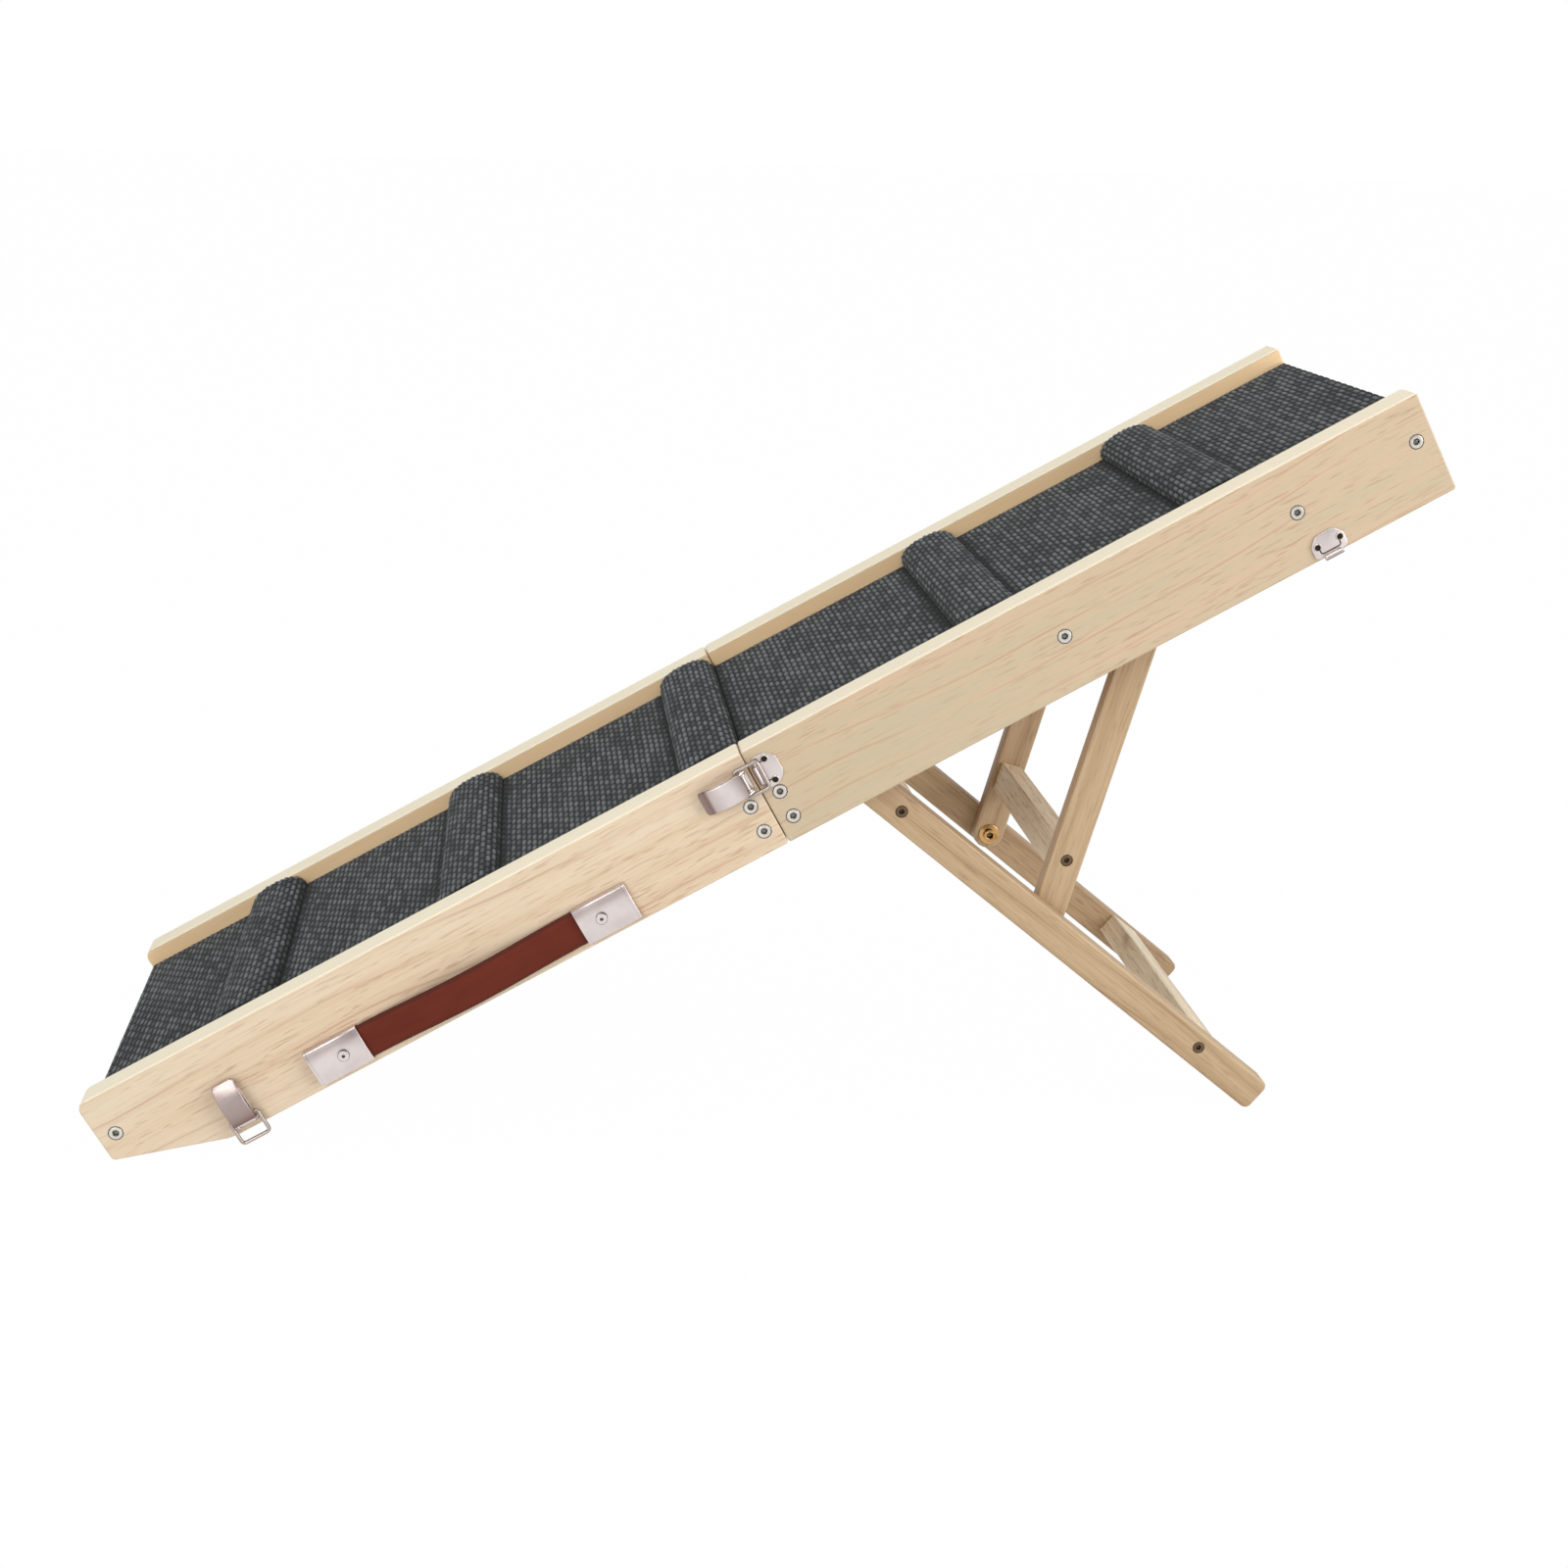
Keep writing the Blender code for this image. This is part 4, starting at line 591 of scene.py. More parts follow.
def metal(kind):
    """A metal's material, made once for all its pieces. The pieces' painted shade and reflection, and the
    painted shade in their hollows, darken it.
    """
    name, _, tarnish, polish, wear = METALS[kind]
    if name in bpy.data.materials:
        return bpy.data.materials[name]
    made, tree = new_material(name)
    tint = getattr(bpy.context.scene.ramp_metal, kind)
    outs = tree.group("satin_metal", tree.place(), tint, tarnish, wear, polish)
    shaded = tree.mix(tree.attribute("shade"), outs["Color"], SHADED)
    tree.paint({"Base Color": tree.mix(tree.attribute("recess"), shaded, RECESS_SHADE), "Metallic": 1.0,
                "Roughness": outs["Roughness"]}, outs["Height"], 0.01 * MM)
    return made


def put_metal(name, mesh, body, kind, *replaced):
    put(name, mesh, body, metal(kind), METALS[kind][1], *replaced)


def put_alike(name, bodies, recess, body, kind, *replaced):
    """Bodies with the same painted shade in their hollows, as one piece of metal."""
    put_metal(name, mesh_of(*bodies, recess=[recess] * len(bodies)), body, kind, *replaced)


# Wood

def dress_frames(own):
    """Legs and struts, each with its grain along it, and their cross-bars and prop bar."""
    streak = tone(128, 92, 66)
    tones = own.frame_pale, own.frame_deep, streak
    for side, sign in SIDES.items():
        for name, angle, shift, rings in (("leg", LEG_ANGLE, (1.3 * sign, 2, 0), 420.0),
                                          ("strut", STRUT_ANGLE, (0.7 * sign, 1, 0), 380.0)):
            turn = (0, TILT + angle, 0)
            dress(wood(f"pine_{name}_{side}", turn, shift, tones, rings=rings), f"{name}_{side}")
    # The cross-bars' pale wood carries painted light, where the deck above shades them
    tones = own.rung_pale_and_lit, own.frame_pale, streak
    dress(wood("pine_rungs", ACROSS_RAMP, (1.1, 0.6, 0.2), tones, rings=350.0), "leg_upper_cross_bar",
          "leg_lower_cross_bar", "strut_cross_bar", "prop_bar")


def plywood(own):
    """Plain veneer, with the thin layers of its edges along the ramp's z."""
    made, tree = new_material("plywood")
    vector = tree.place()
    outs = tree.group("pine_grain", vector, own.plywood, tone(178, 140, 98), tone(140, 98, 66), 0.5, 60.0)
    wave = tree.math("SINE", tree.times(tree.parts(vector)["Z"], 3800.0))
    layer = tree.stretch(wave, 0.1, 0.9, 0.0, 0.3)
    tree.paint({"Base Color": tree.mix(layer, outs["Color"], tone(150, 112, 76)), "Roughness": 0.62},
               outs["Height"], own.relief)
    return made


class RAMP_OT_wood(Operator):
    """Gives every board, bar, rack, deck panel, leg and strut its own cut of pine or plywood"""

    bl_idname = "ramp.wood"
    bl_label = "Dress the Wood"

    def execute(self, context):
        own = context.scene.ramp_wood
        deep, streak = own.board_deep, own.board_streak
        # The colours of the painted highlight on the top edges and the painted bounce light on the inner
        # faces
        faces = own.board_top_highlight, own.board_inside_bounce_light
        # The upper boards' paler wood is darker, a painted shade where the light falls off towards the upper
        # end
        for number, (section, pale) in enumerate((("lower", own.board_pale), ("upper", own.upper_pale_shaded))):
            for side, sign in SIDES.items():
                shift = (0.9 * number + 2.1 * (sign > 0), 0.3 * sign, 0.04 * number)
                name = f"{section}_side_board_{side}"
                dress(wood(f"pine_{name}", ALONG_RAMP, shift, (pale, deep, streak), faces=faces), name)
        tones = own.board_pale, deep, streak
        dress(wood("pine_bars", ACROSS_RAMP, (0.4, 0.2, 0.1), tones, flecks=0.4), "lower_end_bar",
              "upper_end_bar", "lower_joint_bar", "upper_joint_bar", "mid_cross_bar_1", "mid_cross_bar_2")
        dress(wood("pine_racks", ALONG_RAMP, (3, 1, 0.5), tones), "notch_rack_near", "notch_rack_far")
        dress_frames(own)
        dress(plywood(own), "lower_deck_panel", "upper_deck_panel")
        return {"FINISHED"}


# Carpet

ROW_STEPS = 4
LOOP_STEPS = 8


def loop_field(rows, loop, seed):
    """A field of yarn loops, ROW_STEPS samples to a row and LOOP_STEPS to a loop of the row.

    Over a loop the height is (1 - (2f)^2)(1 - (2g)^4) for f and g from -1/2 to 1/2, to the power of 0.7,
    times its own random share. Every other row is set over by half a loop. After the heights come how pale
    the yarn is, a painted highlight that follows each loop's dome times its random share, and where the
    field's columns lie from board to board.
    """
    columns = int(2 * DECK_HALF / loop * LOOP_STEPS)
    row, column = np.meshgrid(np.arange(rows), np.arange(columns), indexing="ij")
    number = row // ROW_STEPS
    shifted = column + LOOP_STEPS // 2 * (number % 2)
    f = (row % ROW_STEPS) / ROW_STEPS - 0.5
    g = (shifted % LOOP_STEPS) / LOOP_STEPS - 0.5
    dome = (1 - (2 * f) ** 2) * (1 - (2 * g) ** 4)
    random = np.random.default_rng(seed).random((rows // ROW_STEPS + 1, columns // LOOP_STEPS + 3))
    share = random[number, shifted // LOOP_STEPS]
    y = np.linspace(-DECK_HALF, DECK_HALF, columns)
    return dome ** 0.7 * (0.8 + 0.4 * share), dome * (0.6 + 0.8 * share), y


def even(arch, step):
    """The closed outline of an arch and its flat foot, with points a whole number of equal steps apart."""
    closed = np.concatenate([arch, arch[:1]])
    length = np.concatenate([[0], np.cumsum(np.linalg.norm(np.diff(closed, axis=0), axis=1))])
    count = ROW_STEPS * round(length[-1] / step / ROW_STEPS)
    at = np.linspace(0, length[-1], count, endpoint=False)
    return grid(*(np.interp(at, length, part) for part in closed.T))


def loop_carpet(own):
    made, tree = new_material("charcoal_loop_carpet")
    outs = tree.group("carpet_yarn", tree.place(), tree.attribute("pile"), own.yarn_dark_and_shaded, own.yarn_pale_and_lit)
    tree.paint({"Base Color": outs["Color"], "Roughness": 0.95, "Specular IOR Level": 0.2,
                "Sheen Weight": 0.1, "Sheen Roughness": 0.6}, outs["Height"], 0.35 * MM)
    return made


def put_strip(section, start, end, own, material, seed):
    """A strip over (x, y): flat underneath, and above it CARPET_TOP plus the loops' heights.

    Painted shadow darkens its yarn over the last 9 mm before each cleat. Its rows wander by
    0.12 mm sin(2 pi y / 61 mm + 0.7 sin(x / 23 mm)), and its loops lie down within 2 mm of the boards.
    """
    rows = int((end - start) / own.row * ROW_STEPS)
    heights, pile, y = loop_field(rows, own.loop, seed)
    x = np.linspace(start, end, rows)[:, None]
    fade = np.clip((DECK_HALF - np.abs(y)) / (2 * MM), 0, 1)
    inner = np.clip(np.minimum(x - start, end - x) / (3 * MM), 0, 1)
    wander = 0.12 * MM * inner * np.sin(2 * math.pi * y / (61 * MM) + 0.7 * np.sin(x / (23 * MM)))
    lift = CARPET_TOP - own.height * 0.5 + own.height * heights * fade
    rings = np.concatenate([grid(x + wander, y, lift), grid(x, [DECK_HALF, -DECK_HALF], CARPET_FOOT)], 1)
    # Painted shadow at each cleat's foot: the yarn darkens over the last 9 mm before it
    gap = np.min(np.abs(x - CLEAT_CENTRES), 1) - CLEAT_HALF
    cleat_foot_shadow = np.interp(gap, [0, 9 * MM], [0.1, 1])[:, None]
    shown = np.concatenate([pile * fade * cleat_foot_shadow, np.zeros((rows, 2))], 1)
    put(f"{section}_carpet_loops", mesh_of(rings, sharp=0, pile=[shown]), f"{section}_section", material,
        "carpet", f"{section}_carpet")


def put_cleat(number, centre, own, material):
    """A wrapped bar over (y, outline), pushed out by the loops along its own normals.

    Its outline is flat underneath, and above it dome (1 - |v|^2.5)^(1 / 2.5) high, with v from -1 to 1
    over its 45 mm. Towards each end it draws in by a quarter circle, as the carpet folds over the bar.
    """
    foot, power, fold = CARPET_TOP + GAP, 2.5, 3 * MM
    turn = np.linspace(0, math.pi, 181)
    share = np.abs(np.cos(turn)) ** (2 / power) * np.sign(np.cos(turn))
    arch = grid(centre + CLEAT_HALF * share, foot + own.dome * np.sin(turn) ** (2 / power))
    outline = even(arch, own.row / ROW_STEPS)
    heights, pile, y = loop_field(len(outline), own.loop, 10 + number)
    lying = outline[:, 1:] > foot + 0.5 * MM
    end = np.clip((np.abs(y) - DECK_HALF + fold) / fold, 0, 1)
    push = own.height * (heights - 0.7) * lying - 2 * MM * (1 - np.sqrt(1 - end ** 2))
    flat = outline[:, None] + push[..., None] * outward(outline)[:, None]
    rings = grid(flat[..., 0], y, np.maximum(flat[..., 1], foot))
    # Painted shadow: the crests darken over the cleat's lowest 5 mm; they also darken towards its ends
    low = np.interp(outline[:, 1:] - foot, mm(0.5, 5), [0.2, 1])
    shown = pile * (lying * low) * (1 - end ** 4)
    name = f"cleat_{number + 1}"
    put(f"{name}_loops", mesh_of(rings.transpose(1, 0, 2), sharp=0, pile=[shown.T]),
        "lower_section" if centre < SECTION else "upper_section", material, "carpet", name)


class RAMP_OT_carpet(Operator):
    """Lays the looped carpet strips and wraps the cleats in the same carpet"""

    bl_idname = "ramp.carpet"
    bl_label = "Lay the Carpet"

    def execute(self, context):
        own = context.scene.ramp_carpet
        material = loop_carpet(own)
        inset = 1.5 * MM
        put_strip("lower", inset, SECTION - GAP, own, material, 3)
        put_strip("upper", SECTION + GAP, RAMP_LENGTH - inset, own, material, 4)
        for number, centre in enumerate(CLEAT_CENTRES):
            put_cleat(number, centre, own, material)
        return {"FINISHED"}


# Screws

# Each section's screws in its boards: their places along the ramp and their heights
BOARD_SCREWS = {
    "lower": mm([12.5, 42], [489, 15.5], [489, 35]),
    "upper": mm([511, 15.5], [511, 35], [725, 37.3], [897.6, 37.3], [987.5, 42]),
}


def socket_head(radius, depth, across, socket, ring=0.5 * MM):
    """A round head from its socket's floor, out over its crowned face and round its rim to a ring over the
    edge of the hole that it sits in. The second array says how dark each of its rings is: painted shade in
    the socket, and a painted shadow on that ring, where the hole's edge lies in shade.

    Heights are over the face that the hole is in. The socket's rings have the radius of a hexagon.
    """
    apothem, crown, rim = across / 2, 0.3 * MM, 0.45 * MM
    turn = np.linspace(0, math.pi / 2, 5)
    edge = grid(radius - rim + rim * np.sin(turn), 0.06 * MM + 0.24 * MM * np.cos(turn))
    profile = [(apothem * 0.5, crown - socket * 0.8), (apothem, crown - socket),
               (apothem * 1.03, crown - 0.3 * MM), (apothem * 1.2, crown),
               ((radius - rim + apothem * 1.2) / 2, crown + 0.05 * MM), *edge,
               (radius + ring, 0.05 * MM), (radius + ring, -depth)]
    # Painted shade in the socket and on the ring round the rim, where the hole's edge is in shade
    recess = np.zeros((len(profile), 1))
    recess[:3, 0] = 0.75, 0.95, 1
    recess[-3:] = 0.8
    return turned(profile, 36, 4), recess


def headed(name, spots, sizes, body, kind, *replaced):
    """Like screw heads at several spots, each a place and the way out, as one piece."""
    rings, recess = socket_head(*sizes)
    put_alike(name, [facing(rings, place, out) for place, out in spots], recess, body, kind, *replaced)


def pan_head(radius, height):
    """A domed head over (height, turn): radius cos a, height sin a, with painted shade in the small hollow of
    its top and round its foot.
    """
    dome = arc((0, 0), np.array([radius, height]), 0, 0.22, 4)
    profile = [(radius * 0.98, -0.4 * MM), *dome, (radius * 0.76, height * 0.8), (radius * 0.7, height * 0.5)]
    # Painted shade round the foot and in the top's hollow
    return turned(profile, 28), np.array([[0.85, 0.85, 0, 0, 0, 0.7, 1]]).T


def put_frame_screws():
    """Bronze screws, sunk into the outer faces of the legs and struts."""
    upper_at, lower_at, lower_off, strut_at = mm(56.2, 343.4, 1.75, 48)
    upper = LEG_PIVOT + upper_at * along(LEG_ANGLE)
    lower = LEG_PIVOT + lower_at * along(LEG_ANGLE) + lower_off * along(LEG_ANGLE + math.pi / 2)
    strut = STRUT_PIVOT + strut_at * along(STRUT_ANGLE)
    for side, sign in SIDES.items():
        for name, body, face, spots in (("leg_screws", "leg_frame", 120.45, (upper, lower)),
                                        ("strut_screw", "strut_frame", 101.6, (strut,))):
            places = [(at + mm(0, sign * face, 0), (0, sign, 0)) for at in spots]
            headed(f"{name}_{side}", places, mm(3.9, 1.2, 3.1, 1.4), body, "bronze")


def put_pivot_bolts():
    """Brass bolts on washers, whose heads face the middle of the ramp."""
    for name, body, place, top, length in (("leg_pivot_bolt", "upper_section", LEG_PIVOT, 98, 37 * MM),
                                           ("strut_pivot_bolt", "leg_frame", STRUT_PIVOT, 85.5, 31 * MM)):
        for side, sign in SIDES.items():
            put_bolt(f"{name}_{side}", body, place + mm(0, sign * top, 0), (0, -sign, 0), length)


def put_bolt(name, body, place, out, length):
    """A bolt's head, its washer and its shank, as three bodies of one piece."""
    head, recess = socket_head(*mm(4.7, 3.2, 4.6, 2.2, 0.2))
    washer = turned(mm([3, -3.2], [7.6, -3.2], [7.9, -3.4], [8, -3.7], [8, -4.2], [3, -4.2]), 36)
    top, radius, tip, bevel = mm(-3, 2.9, 2.3, 0.5)
    shank = turned([(radius, top), (radius, -length), (tip, -length - bevel)], 36)
    bodies = [facing(rings, place, out) for rings in (head, washer, shank)]
    put_metal(f"{name}_detail", mesh_of(*bodies, recess=[recess, 0, 0]), body, "brass", name)


class RAMP_OT_screws(Operator):
    """Sets the socket screws of the boards, legs and struts, and the pivot bolts"""

    bl_idname = "ramp.screws"
    bl_label = "Set the Screws"

    def execute(self, context):
        for section, spots in BOARD_SCREWS.items():
            for side, sign in SIDES.items():
                places = [((x, sign * BOARD_FACE, z), (0, sign, 0)) for x, z in spots]
                headed(f"{section}_board_screws_{side}", places, mm(4.4, 1.5, 3.9, 1.5, 0.7),
                       f"{section}_section", "steel")
        put_frame_screws()
        put_pivot_bolts()
        return {"FINISHED"}


# Handle

def put_strap(own):
    """A band over (x, outline), which stands off by bow sin^2 between the caps and by nothing under them.

    Its outer face is crowned by 0.25 mm (1 - v^2) and creased near each edge by
    0.3 mm exp(-((|v| - 0.84) / 0.035)^2), where v is -1 to 1 across it.
    """
    half, thick, inset = 12.25 * MM, 3.5 * MM, 1.5 * MM
    outline, = filled(0.35 * MM, rounded_box((-half, 0), (half, thick), mm(0.7, 0.7, 1.3, 1.3)))
    v = outline[:, 0] / half
    outer = outline[:, 1] > thick - 0.02 * MM
    crease_at, crease_width = 0.84, 0.035
    crease = 0.3 * MM * np.exp(-((np.abs(v) - crease_at) / crease_width) ** 2)
    rise = np.where(outer, 0.25 * MM * (1 - v ** 2) - crease, 0)
    x = np.linspace(HANDLE_START + inset, HANDLE_END - inset, 121)[:, None]
    share = np.interp(x, [HANDLE_START + CAP_LENGTH, HANDLE_END - CAP_LENGTH], [0, 1])
    lift = GAP + own.bow * np.sin(math.pi * share) ** 2
    rings = grid(x, -BOARD_FACE - lift - (outline[:, 1] + rise), HANDLE_HEIGHT + outline[:, 0])
    worn = np.where(outer, np.abs(v), 1.0)
    put("handle_strap_leather", mesh_of(rings, sharp=50, edge=[worn]), "lower_section", leather(own),
        "leather", "handle_strap")


def leather(own):
    """Smooth leather with pores, a darker burnished edge and faint pull marks along it."""
    made, tree = new_material("red_brown_leather")
    vector = tree.place()
    pores = tree.add("ShaderNodeTexVoronoi")
    tree.made(pores, {"Vector": vector, "Scale": 1100.0})
    cloud = tree.noise(vector, 30, 110, 110, detail=4, roughness=0.6)
    edge = tree.stretch(tree.attribute("edge"), 0.8, 0.97)
    colour = tree.mix(tree.stretch(cloud, 0.35, 0.7, 0.0, 0.45), own.leather, tone(86, 30, 19))
    height = tree.math("MULTIPLY_ADD", pores.outputs["Distance"], 0.5, cloud)
    tree.paint({"Base Color": tree.mix(edge, colour, own.leather_edge), "Specular IOR Level": 0.22,
                "Roughness": tree.stretch(cloud, 0.3, 0.7, 0.55, 0.68)}, height, 0.12 * MM)
    return made


def put_cap(name, end, inward):
    """An arched cap over (length, outline): outside from its closed end to its mouth, then back inside.

    Its closed end is a hem with a groove behind it, darkened by painted shade, and its crown is 1.2 mm (1 -
    v^2) over the shoulders.
    Painted shade and reflection darken it by 0.42 exp(-((v - 0.72) / 0.26)^2) at its upper edge, and by 0.1
    |v| on its lower half.
    """
    half, shoulder, crown, ease, groove_at = mm(13.75, 5.3, 1.2, 0.7, 2)
    width, low = half - SHEET, GAP + 0.05 * MM
    outer, inner = filled(
        1.2 * MM, rounded_box((-half, GAP), (half, shoulder), mm(0.2, 0.2, 1.8, 1.8), 8),
        rounded_box((-width, low), (width, shoulder - SHEET), mm(0.1, 0.1, 0.8, 0.8), 8))
    for line in (outer, inner):
        line[:, 1] += np.where(line[:, 1] > 2 * MM, crown * (1 - (line[:, 0] / half) ** 2), 0)
    inset, rise = eased(ease, 5)
    depth = np.concatenate([rise, mm(1.3, 1.7, 2.0, 2.4, 2.9, 20), CAP_LENGTH - mm(0.25, 0, 0, 0.3),
                            SHEET + mm(0.4, 0)])[:, None]
    draw = np.concatenate([inset, mm(0, 0.06, 0.2, 0.06, 0, 0, 0, 0.25)])
    normal = outward(outer)
    normal[:, 1] = np.where(outer[:, 1] < GAP + 0.01 * MM, 0, normal[:, 1])
    outside = outer - draw[:, None, None] * normal
    inside = inner - mm(-0.25, 0, 0, 0.4)[:, None, None] * outward(inner)
    inside[..., 1] = np.maximum(inside[..., 1], GAP + 0.04 * MM)
    flat = np.concatenate([outside, inside])
    rings = grid(end + inward * depth, -BOARD_FACE - flat[..., 1], HANDLE_HEIGHT + flat[..., 0])
    # Painted shade in the groove behind the hem, and painted shade and reflection across the cap
    groove = 0.25 * (depth == groove_at)
    v = flat[..., 0] / half
    shade = 0.42 * np.exp(-((v - 0.72) / 0.26) ** 2) + 0.1 * np.clip(-v, 0, 1)
    put_metal(f"handle_cap_{name}_shell", mesh_of(rings, sharp=60, recess=[groove], shade=[shade]),
              "lower_section", "nickel", f"handle_cap_{name}")


class RAMP_OT_handle(Operator):
    """Makes the leather carrying strap, its two metal caps and their screws"""

    bl_idname = "ramp.handle"
    bl_label = "Make the Handle"

    def execute(self, context):
        put_strap(context.scene.ramp_handle)
        for name, end, inward in (("lower", HANDLE_START, 1), ("upper", HANDLE_END, -1)):
            put_cap(name, end, inward)
            place = (end + inward * HANDLE_SCREW_AT, -BOARD_FACE - 8.2 * MM, HANDLE_HEIGHT)
            headed(f"handle_screw_{name}_head", [(place, (0, -1, 0))], mm(3.7, 1.7, 1.9, 1, 0.25),
                   "lower_section", "nickel", f"handle_screw_{name}")
        return {"FINISHED"}


# Draw latches

# Each kind's place along the ramp, its height, and the way its bail pulls, as in the solids
LATCHES = {"centre_latch": (494 * MM, 53 * MM, (1, 0, 0)), "end_latch": (92 * MM, 7.5 * MM, (0, 0, -1))}
CATCHES = {"centre_catch": (494 * MM, 53 * MM, (1, 0, 0)), "end_catch": (908 * MM, -8.5 * MM, (0, 0, 1))}

# How dark the levers' painted reflection makes them, at shares of their length from the pivot to the tip
TONES_AT = (0, 0.06, 0.16, 0.32, 0.5, 0.78, 0.84, 1)
LEVER_PAINTED_REFLECTION = {
    "centre": (0.7, 0.5, 0.2, 0, 0, 0.4, 0.95, 0.8),
    "end": (1, 0.9, 0.75, 0.65, 0.6, 0.55, 0.6, 0.5),
}


def each_spot(kinds):
    """The name of each piece of some kinds, with its origin, its pull and its way out."""
    for side, sign in SIDES.items():
        for kind, (x, height, pull) in kinds.items():
            yield f"{kind}_{side}", ((x, sign * BOARD_FACE, height), pull, (0, sign, 0))


def latched(points, spot):
    """Puts a body drawn along the pull, across it and out from the board."""
    place, pull, out = spot
    return set_at(points, place, pull, np.cross(out, pull), out)


def side_plate(outline, low, high, ease, spot):
    """A plate whose outline is drawn along the pull and out, and whose thickness runs across."""
    return latched(plate(outline, low, high, ease)[..., [0, 2, 1]], spot)


def side_plates(outline, start, spot):
    """Two such plates, a sheet thick, from start on either side of the middle."""
    return [side_plate(outline, *sorted((side * start, side * (start + SHEET))), 0.2 * MM, spot)
            for side in (-1, 1)]


def put_base(name, spot):
    """The base plate, its two ears, the lever's pin and two screws."""
    outline = rounded_box(mm(-26.8, -6.9), mm(3.2, 6.9), mm(4, 1, 1, 4))
    ear = np.concatenate([mm([-3, 0.9], [3, 0.9]), arc((0, PIVOT_HEIGHT), 2.4 * MM, 0, 1, 13)])
    pin = turned(mm([1, -8.75], [1.2, -8.5], [1.2, 8.5], [1, 8.75]), 20)[..., [0, 2, 1]]
    mesh = mesh_of(latched(plate(outline, GAP, GAP + SHEET, 0.3 * MM), spot),
                   *side_plates(ear, 5.5 * MM, spot), latched(pin + [0, 0, PIVOT_HEIGHT], spot))
    put_metal(f"{name}_base_plate", mesh, "lower_section", "nickel", f"{name}_base")
    put_small_screws(f"{name}_base_screws", mm([-10, 0], [-20, 0]), spot, "lower_section")


def put_small_screws(name, places, spot, body):
    rings, recess = pan_head(*mm(2.7, 1.35))
    bodies = [latched(rings + [x, y, GAP + SHEET], spot) for x, y in places]
    put_alike(name, bodies, recess, body, "steel")


def put_lever(name, spot):
    """The arched lever over (length, section) with turned-down edges, and its two flanges.

    Its outer face stands 8.6 mm off at the pivot, 10 mm at 0.38 of its length and 4.8 mm at its tip, on
    two parabolas. At the tip the width draws in by a quarter circle.
    """
    share = np.linspace(0, 1, 33)[:, None]
    peak, tip_at = 0.38, 0.93
    start, length, width, taper, fold, edge = mm(1, 31, 8.5, 1.8, 1, -1.9)
    crown, to_pivot, to_tip = mm(10, 1.4, 5.2)
    rise = crown - np.where(share < peak, to_pivot * (1 - share / peak) ** 2,
                            to_tip * ((share - peak) / (1 - peak)) ** 2)
    tip = np.clip((share - tip_at) / (1 - tip_at), 0, 1)
    half = width - taper * (1 - np.sqrt(1 - tip ** 2))
    outer = np.concatenate([[(0, edge)], arc((fold, -fold), fold, 1, 0.5, 5)])
    inner = np.array([(SHEET * 0.8, edge), (SHEET * 0.8, -1.5 * MM), (SHEET * 1.3, -SHEET)])
    sides = (outer, -1), (outer[::-1], 1), (inner, 1), (inner[::-1], -1)
    ring = np.concatenate([grid(sign * (half - line[:, 0]), line[:, 1]) for line, sign in sides], 1)
    rings = grid(-start - length * share, ring[..., 0], rise + ring[..., 1])
    # Painted reflection darkens the sheet along its length, and painted shade the flanges by a quarter
    shade = np.interp(share, TONES_AT, LEVER_PAINTED_REFLECTION[name.split("_")[0]])
    mesh = mesh_of(latched(rings, spot), *side_plates(flange(), 7.1 * MM, spot), sharp=50,
                   shade=[shade, 0.25, 0.25])
    put_metal(f"{name}_lever_sheet", mesh, f"{name}_lever", "nickel", f"{name}_lever")


def flange():
    """Round the pivot and the bail's hole, and up to the lever's sheet."""
    return np.concatenate([arc((-4 * MM, PIVOT_HEIGHT), 2.8 * MM, 1, 1.5, 7),
                           arc((0, PIVOT_HEIGHT), 2.8 * MM, -0.5, 0, 7), mm([-1, 8], [-10, 8.6])])


def put_bail(name, spot):
    """The wire over (path, turn): in through both flanges and round the end in a square loop.

    Painted shade darkens it by 0.85 - 0.4 sin a, so that it is darkest underneath.
    """
    span, reach, throw, inward, bend, corner = mm(10.3, 13.2, 4, 7.3, 1.8, 2.6)
    half = np.concatenate([[(-throw, inward)], arc((bend - throw, span - bend), bend, 1, 0.5, 7),
                           arc((reach - corner, span - corner), corner, 0.5, 0, 9)])
    rings = wire(lifted(mirrored(half), PIVOT_HEIGHT), 1.3 * MM, 14)
    shade = np.clip(0.85 - 0.4 * np.sin(all_round(rings.shape[1])), 0, 1)
    put_metal(f"{name}_bail_wire", mesh_of(latched(rings, spot), sharp=0, shade=[shade]), f"{name}_bail",
              "steel", f"{name}_bail")


def put_catch(name, spot):
    """A D-shaped plate with a dark strip of painted shade for its cut, two screws, and the rolled lip that
    the bail hooks behind, which painted shade darkens on its lower side.

    The lip's outline is 1.9 mm cos a, 2.3 mm sin a.
    """
    start, end, half, width, height = mm(10, 26, 12, 1.9, 2.3)
    waist = start + 0.62 * (end - start)
    corners = mirrored([(start, -half), (waist, -half), (end, -0.55 * half)])
    outline = rounded(corners, mm(3, 6, 6, 6, 6, 3))
    turn = all_round(24)
    roll = grid(start - 0.4 * MM + width * np.cos(turn), 3.3 * MM + height * np.sin(turn))
    mesh = mesh_of(latched(plate(outline, GAP, GAP + SHEET, 0.4 * MM), spot),
                   side_plate(roll, -6.6 * MM, 6.6 * MM, 0.6 * MM, spot), latched(cut_shadow_strip(start), spot),
                   recess=[0, 0, 1], shade=[0, np.clip(-0.9 * np.cos(turn + 0.5), 0, 1), 0])
    put_metal(f"{name}_plate", mesh, "upper_section", "nickel", name)
    put_small_screws(f"{name}_screws", mm([18.4, -8.2], [18.4, 8.2]), spot, "upper_section")


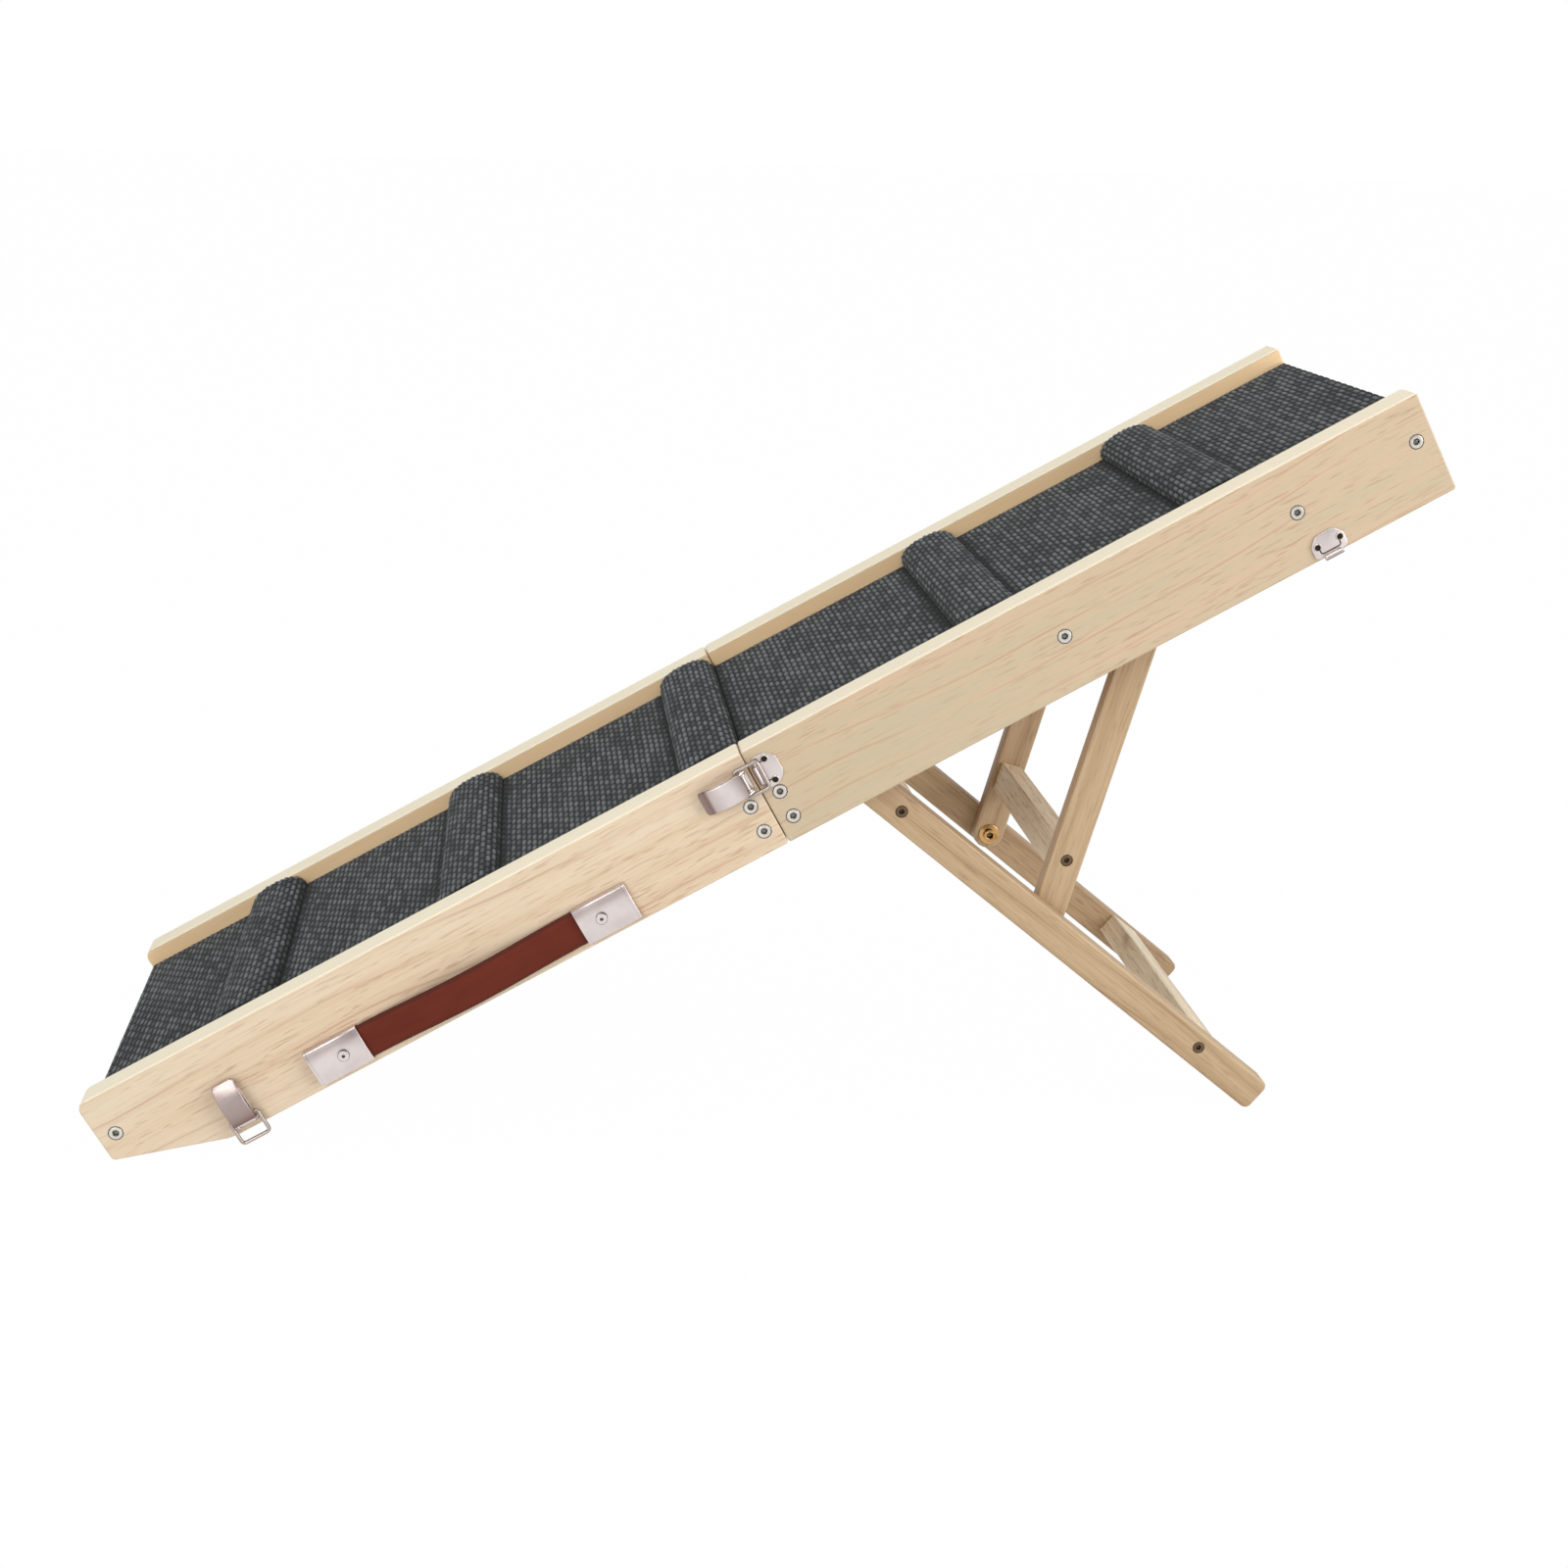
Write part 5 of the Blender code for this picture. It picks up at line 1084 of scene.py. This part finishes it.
def cut_shadow_strip(start):
    """A dark strip of painted shade for the cut round the hook's tongue: a flat wire over (path, turn) from
    one screw to the other.
    """
    low, half, radius, top, flatness = start + 2.6 * MM, 7.2 * MM, 1.6 * MM, GAP + SHEET, 0.12
    corner = arc((low + radius, radius - half), radius, 1.5, 1, 7)
    rings = wire(lifted(mirrored([(low + 3.6 * MM, -half), *corner]), top), 0.42 * MM, 8)
    return lifted(rings, top + flatness * (rings[..., 2] - top))


class RAMP_OT_latches(Operator):
    """Makes the draw latches: base, arched lever and wire bail, and the catches with their hooked lips"""

    bl_idname = "ramp.latches"
    bl_label = "Make the Latches"

    def execute(self, context):
        for name, spot in each_spot(LATCHES):
            put_base(name, spot)
            put_lever(name, spot)
            put_bail(name, spot)
        for name, spot in each_spot(CATCHES):
            put_catch(name, spot)
        return {"FINISHED"}


# Hinges

class RAMP_OT_hinges(Operator):
    """Gives the butt hinges their metal and their countersunk screws"""

    bl_idname = "ramp.hinges"
    bl_label = "Dress the Hinges"

    def execute(self, context):
        rings = turned(mm([0.7, -0.35], [0.8, 0], [1.8, 0], [1.9, -0.1], [1.2, -1.6]), 28)
        # Painted shade in the screw heads' drive hollows
        recess = np.array([[1, 0, 0, 0, 0]]).T
        sunk = 0.42 * MM
        for side, sign in SIDES.items():
            dress(metal("steel"), f"hinge_leaf_upper_{side}", f"hinge_leaf_lower_{side}", f"hinge_pin_{side}")
            for section, way in (("lower", 1), ("upper", -1)):
                spots = [(SECTION - way * sunk, sign * HINGE_CENTRE + shift * MM, height * MM)
                         for shift, height in ((-15, 12.3), (15, 28))]
                bodies = [set_at(rings, spot, (0, 1, 0), (0, 0, way), (way, 0, 0)) for spot in spots]
                put_alike(f"hinge_screws_{section}_{side}", bodies, recess, f"{section}_section", "steel")
        return {"FINISHED"}


# Stage

# The camera that was fitted to the photograph, in the ramp's frame
CAMERA_PLACE = mm(574.98, -1471.56, 491.99)
CAMERA_AHEAD = np.array([-0.024899, 0.955967, -0.292417])
CAMERA_RIGHT = np.array([0.882426, -0.116443, -0.455813])
CAMERA_LENS = 48.67
CAMERA_SHIFT = -0.05

# Each lamp's place, size, share of the lamp power and the height that it faces over the middle of the floor
LAMPS = {
    "overhead_lamp": ((0.1, -0.5, 3.0), 2.6, 1.0, 0.25),
    "left_lamp": ((-2.0, -3.0, 1.5), 2.0, 1.5, 0.2),
    "right_lamp": ((2.8, -1.9, 1.3), 2.0, 1.95, 0.1),
}


def add_lamp(name, place, size, power, target):
    """A large square lamp that faces a point."""
    data = bpy.data.lights.new(name, "AREA")
    data.energy, data.size = power, size
    made = linked(name, data)
    made.location = place
    made.rotation_euler = (Vector(target) - Vector(place)).to_track_quat("-Z", "Y").to_euler()


def add_camera():
    """The camera of the photograph, with its axes turned from the ramp's frame into the scene's."""
    data = bpy.data.cameras.new("camera")
    data.sensor_width, data.lens, data.shift_y = 36, CAMERA_LENS, CAMERA_SHIFT
    ahead, right = CAMERA_AHEAD @ RAMP_TURN, CAMERA_RIGHT @ RAMP_TURN
    up = np.cross(right, ahead)
    matrix = Matrix(np.column_stack([right, up, -ahead])).to_4x4()
    matrix.translation = to_world(CAMERA_PLACE)
    made = linked("camera", data)
    made.matrix_world = matrix
    return made


def add_floor(colour):
    """A wide disc over (radius, turn) that keeps the ramp's shadow and fades to white for the camera."""
    reach, sides, white = 30, 64, 0.99
    turn = all_round(sides)
    mesh = bpy.data.meshes.new("floor")
    mesh.from_pydata((reach * grid(np.cos(turn), np.sin(turn), 0)).tolist(), [], [list(range(sides))])
    material, tree = new_material("studio_floor")
    surface = tree.paint({"Base Color": colour, "Roughness": 0.9})
    rays = tree.add("ShaderNodeLightPath").outputs
    seen = tree.math("MAXIMUM", rays["Is Camera Ray"], rays["Is Glossy Ray"])
    glow = tree.add("ShaderNodeEmission").outputs[0]
    blend = tree.made(tree.add("ShaderNodeMixShader"), {0: tree.times(seen, white), 1: surface, 2: glow})
    tree.feed(tree.nodes["Material Output"].inputs["Surface"], blend)
    mesh.materials.append(material)
    made = linked("floor", mesh)


def white_room(light):
    """A white world: full white for the camera, and for the object a room that is brighter overhead."""
    world = bpy.data.worlds.new("white_room")
    world.use_nodes = True
    tree = Tree(world.node_tree)
    rays = tree.add("ShaderNodeLightPath").outputs
    seen = tree.math("MAXIMUM", rays["Is Camera Ray"], rays["Is Transmission Ray"])
    upward = tree.parts(tree.add("ShaderNodeTexCoord").outputs["Generated"])["Z"]
    soft = tree.times(tree.stretch(upward, -0.6, 1.0, 0.62, 1.3), light)
    unseen = tree.times(tree.math("SUBTRACT", 1.0, seen), soft)
    tree.made(tree.nodes["Background"], {"Color": (1, 1, 1), "Strength": tree.plus(seen, unseen)})
    return world


class RAMP_OT_stage(Operator):
    """Sets the camera, the pale floor, the white room and the soft lamps"""

    bl_idname = "ramp.stage"
    bl_label = "Set the Stage"

    def execute(self, context):
        scene = context.scene
        own = scene.ramp_stage
        scene.camera = add_camera()
        scene.world = white_room(own.room_light)
        add_floor(own.floor)
        for name, (place, size, share, height) in LAMPS.items():
            add_lamp(name, place, size, own.lamp_power * share, (0, 0, height))
        scene.view_settings.view_transform = "Standard"
        return {"FINISHED"}


class RAMP_PT_pieces(Panel):
    """Lists the ramp's pieces and their settings"""

    bl_idname = "RAMP_PT_pieces"
    bl_label = "Folding Dog Ramp"
    bl_space_type = "VIEW_3D"
    bl_region_type = "UI"
    bl_category = "Ramp"

    def draw(self, context):
        for operator in OPERATORS:
            self.layout.operator(operator.bl_idname)
        for holder, settings in SETTINGS.items():
            box = self.layout.box()
            for field in settings.__annotations__:
                box.prop(getattr(context.scene, holder), field)


SETTINGS = {
    "ramp_wood": RampWoodSettings,
    "ramp_carpet": RampCarpetSettings,
    "ramp_handle": RampHandleSettings,
    "ramp_metal": RampMetalSettings,
    "ramp_stage": RampStageSettings,
}
OPERATORS = (RAMP_OT_stage, RAMP_OT_wood, RAMP_OT_carpet, RAMP_OT_screws, RAMP_OT_handle, RAMP_OT_latches,
             RAMP_OT_hinges)


def register():
    for made in (*SETTINGS.values(), *OPERATORS, RAMP_PT_pieces):
        bpy.utils.register_class(made)
    for holder, settings in SETTINGS.items():
        setattr(bpy.types.Scene, holder, PointerProperty(type=settings))


def unregister():
    for holder in SETTINGS:
        delattr(bpy.types.Scene, holder)
    for made in (RAMP_PT_pieces, *reversed(OPERATORS), *reversed(SETTINGS.values())):
        bpy.utils.unregister_class(made)


def clear_start_scene():
    """Takes away the cube, lamp and camera that a new file opens with."""
    kept = set(frame["nodes"].values()) | set(frame["bodies"].values())
    for made in list(bpy.data.objects):
        if made not in kept:
            bpy.data.objects.remove(made)


def main():
    register()
    clear_start_scene()
    bpy.ops.ramp.stage()
    bpy.ops.ramp.wood()
    bpy.ops.ramp.carpet()
    bpy.ops.ramp.screws()
    bpy.ops.ramp.handle()
    bpy.ops.ramp.latches()
    bpy.ops.ramp.hinges()


if __name__ == "__main__":
    main()
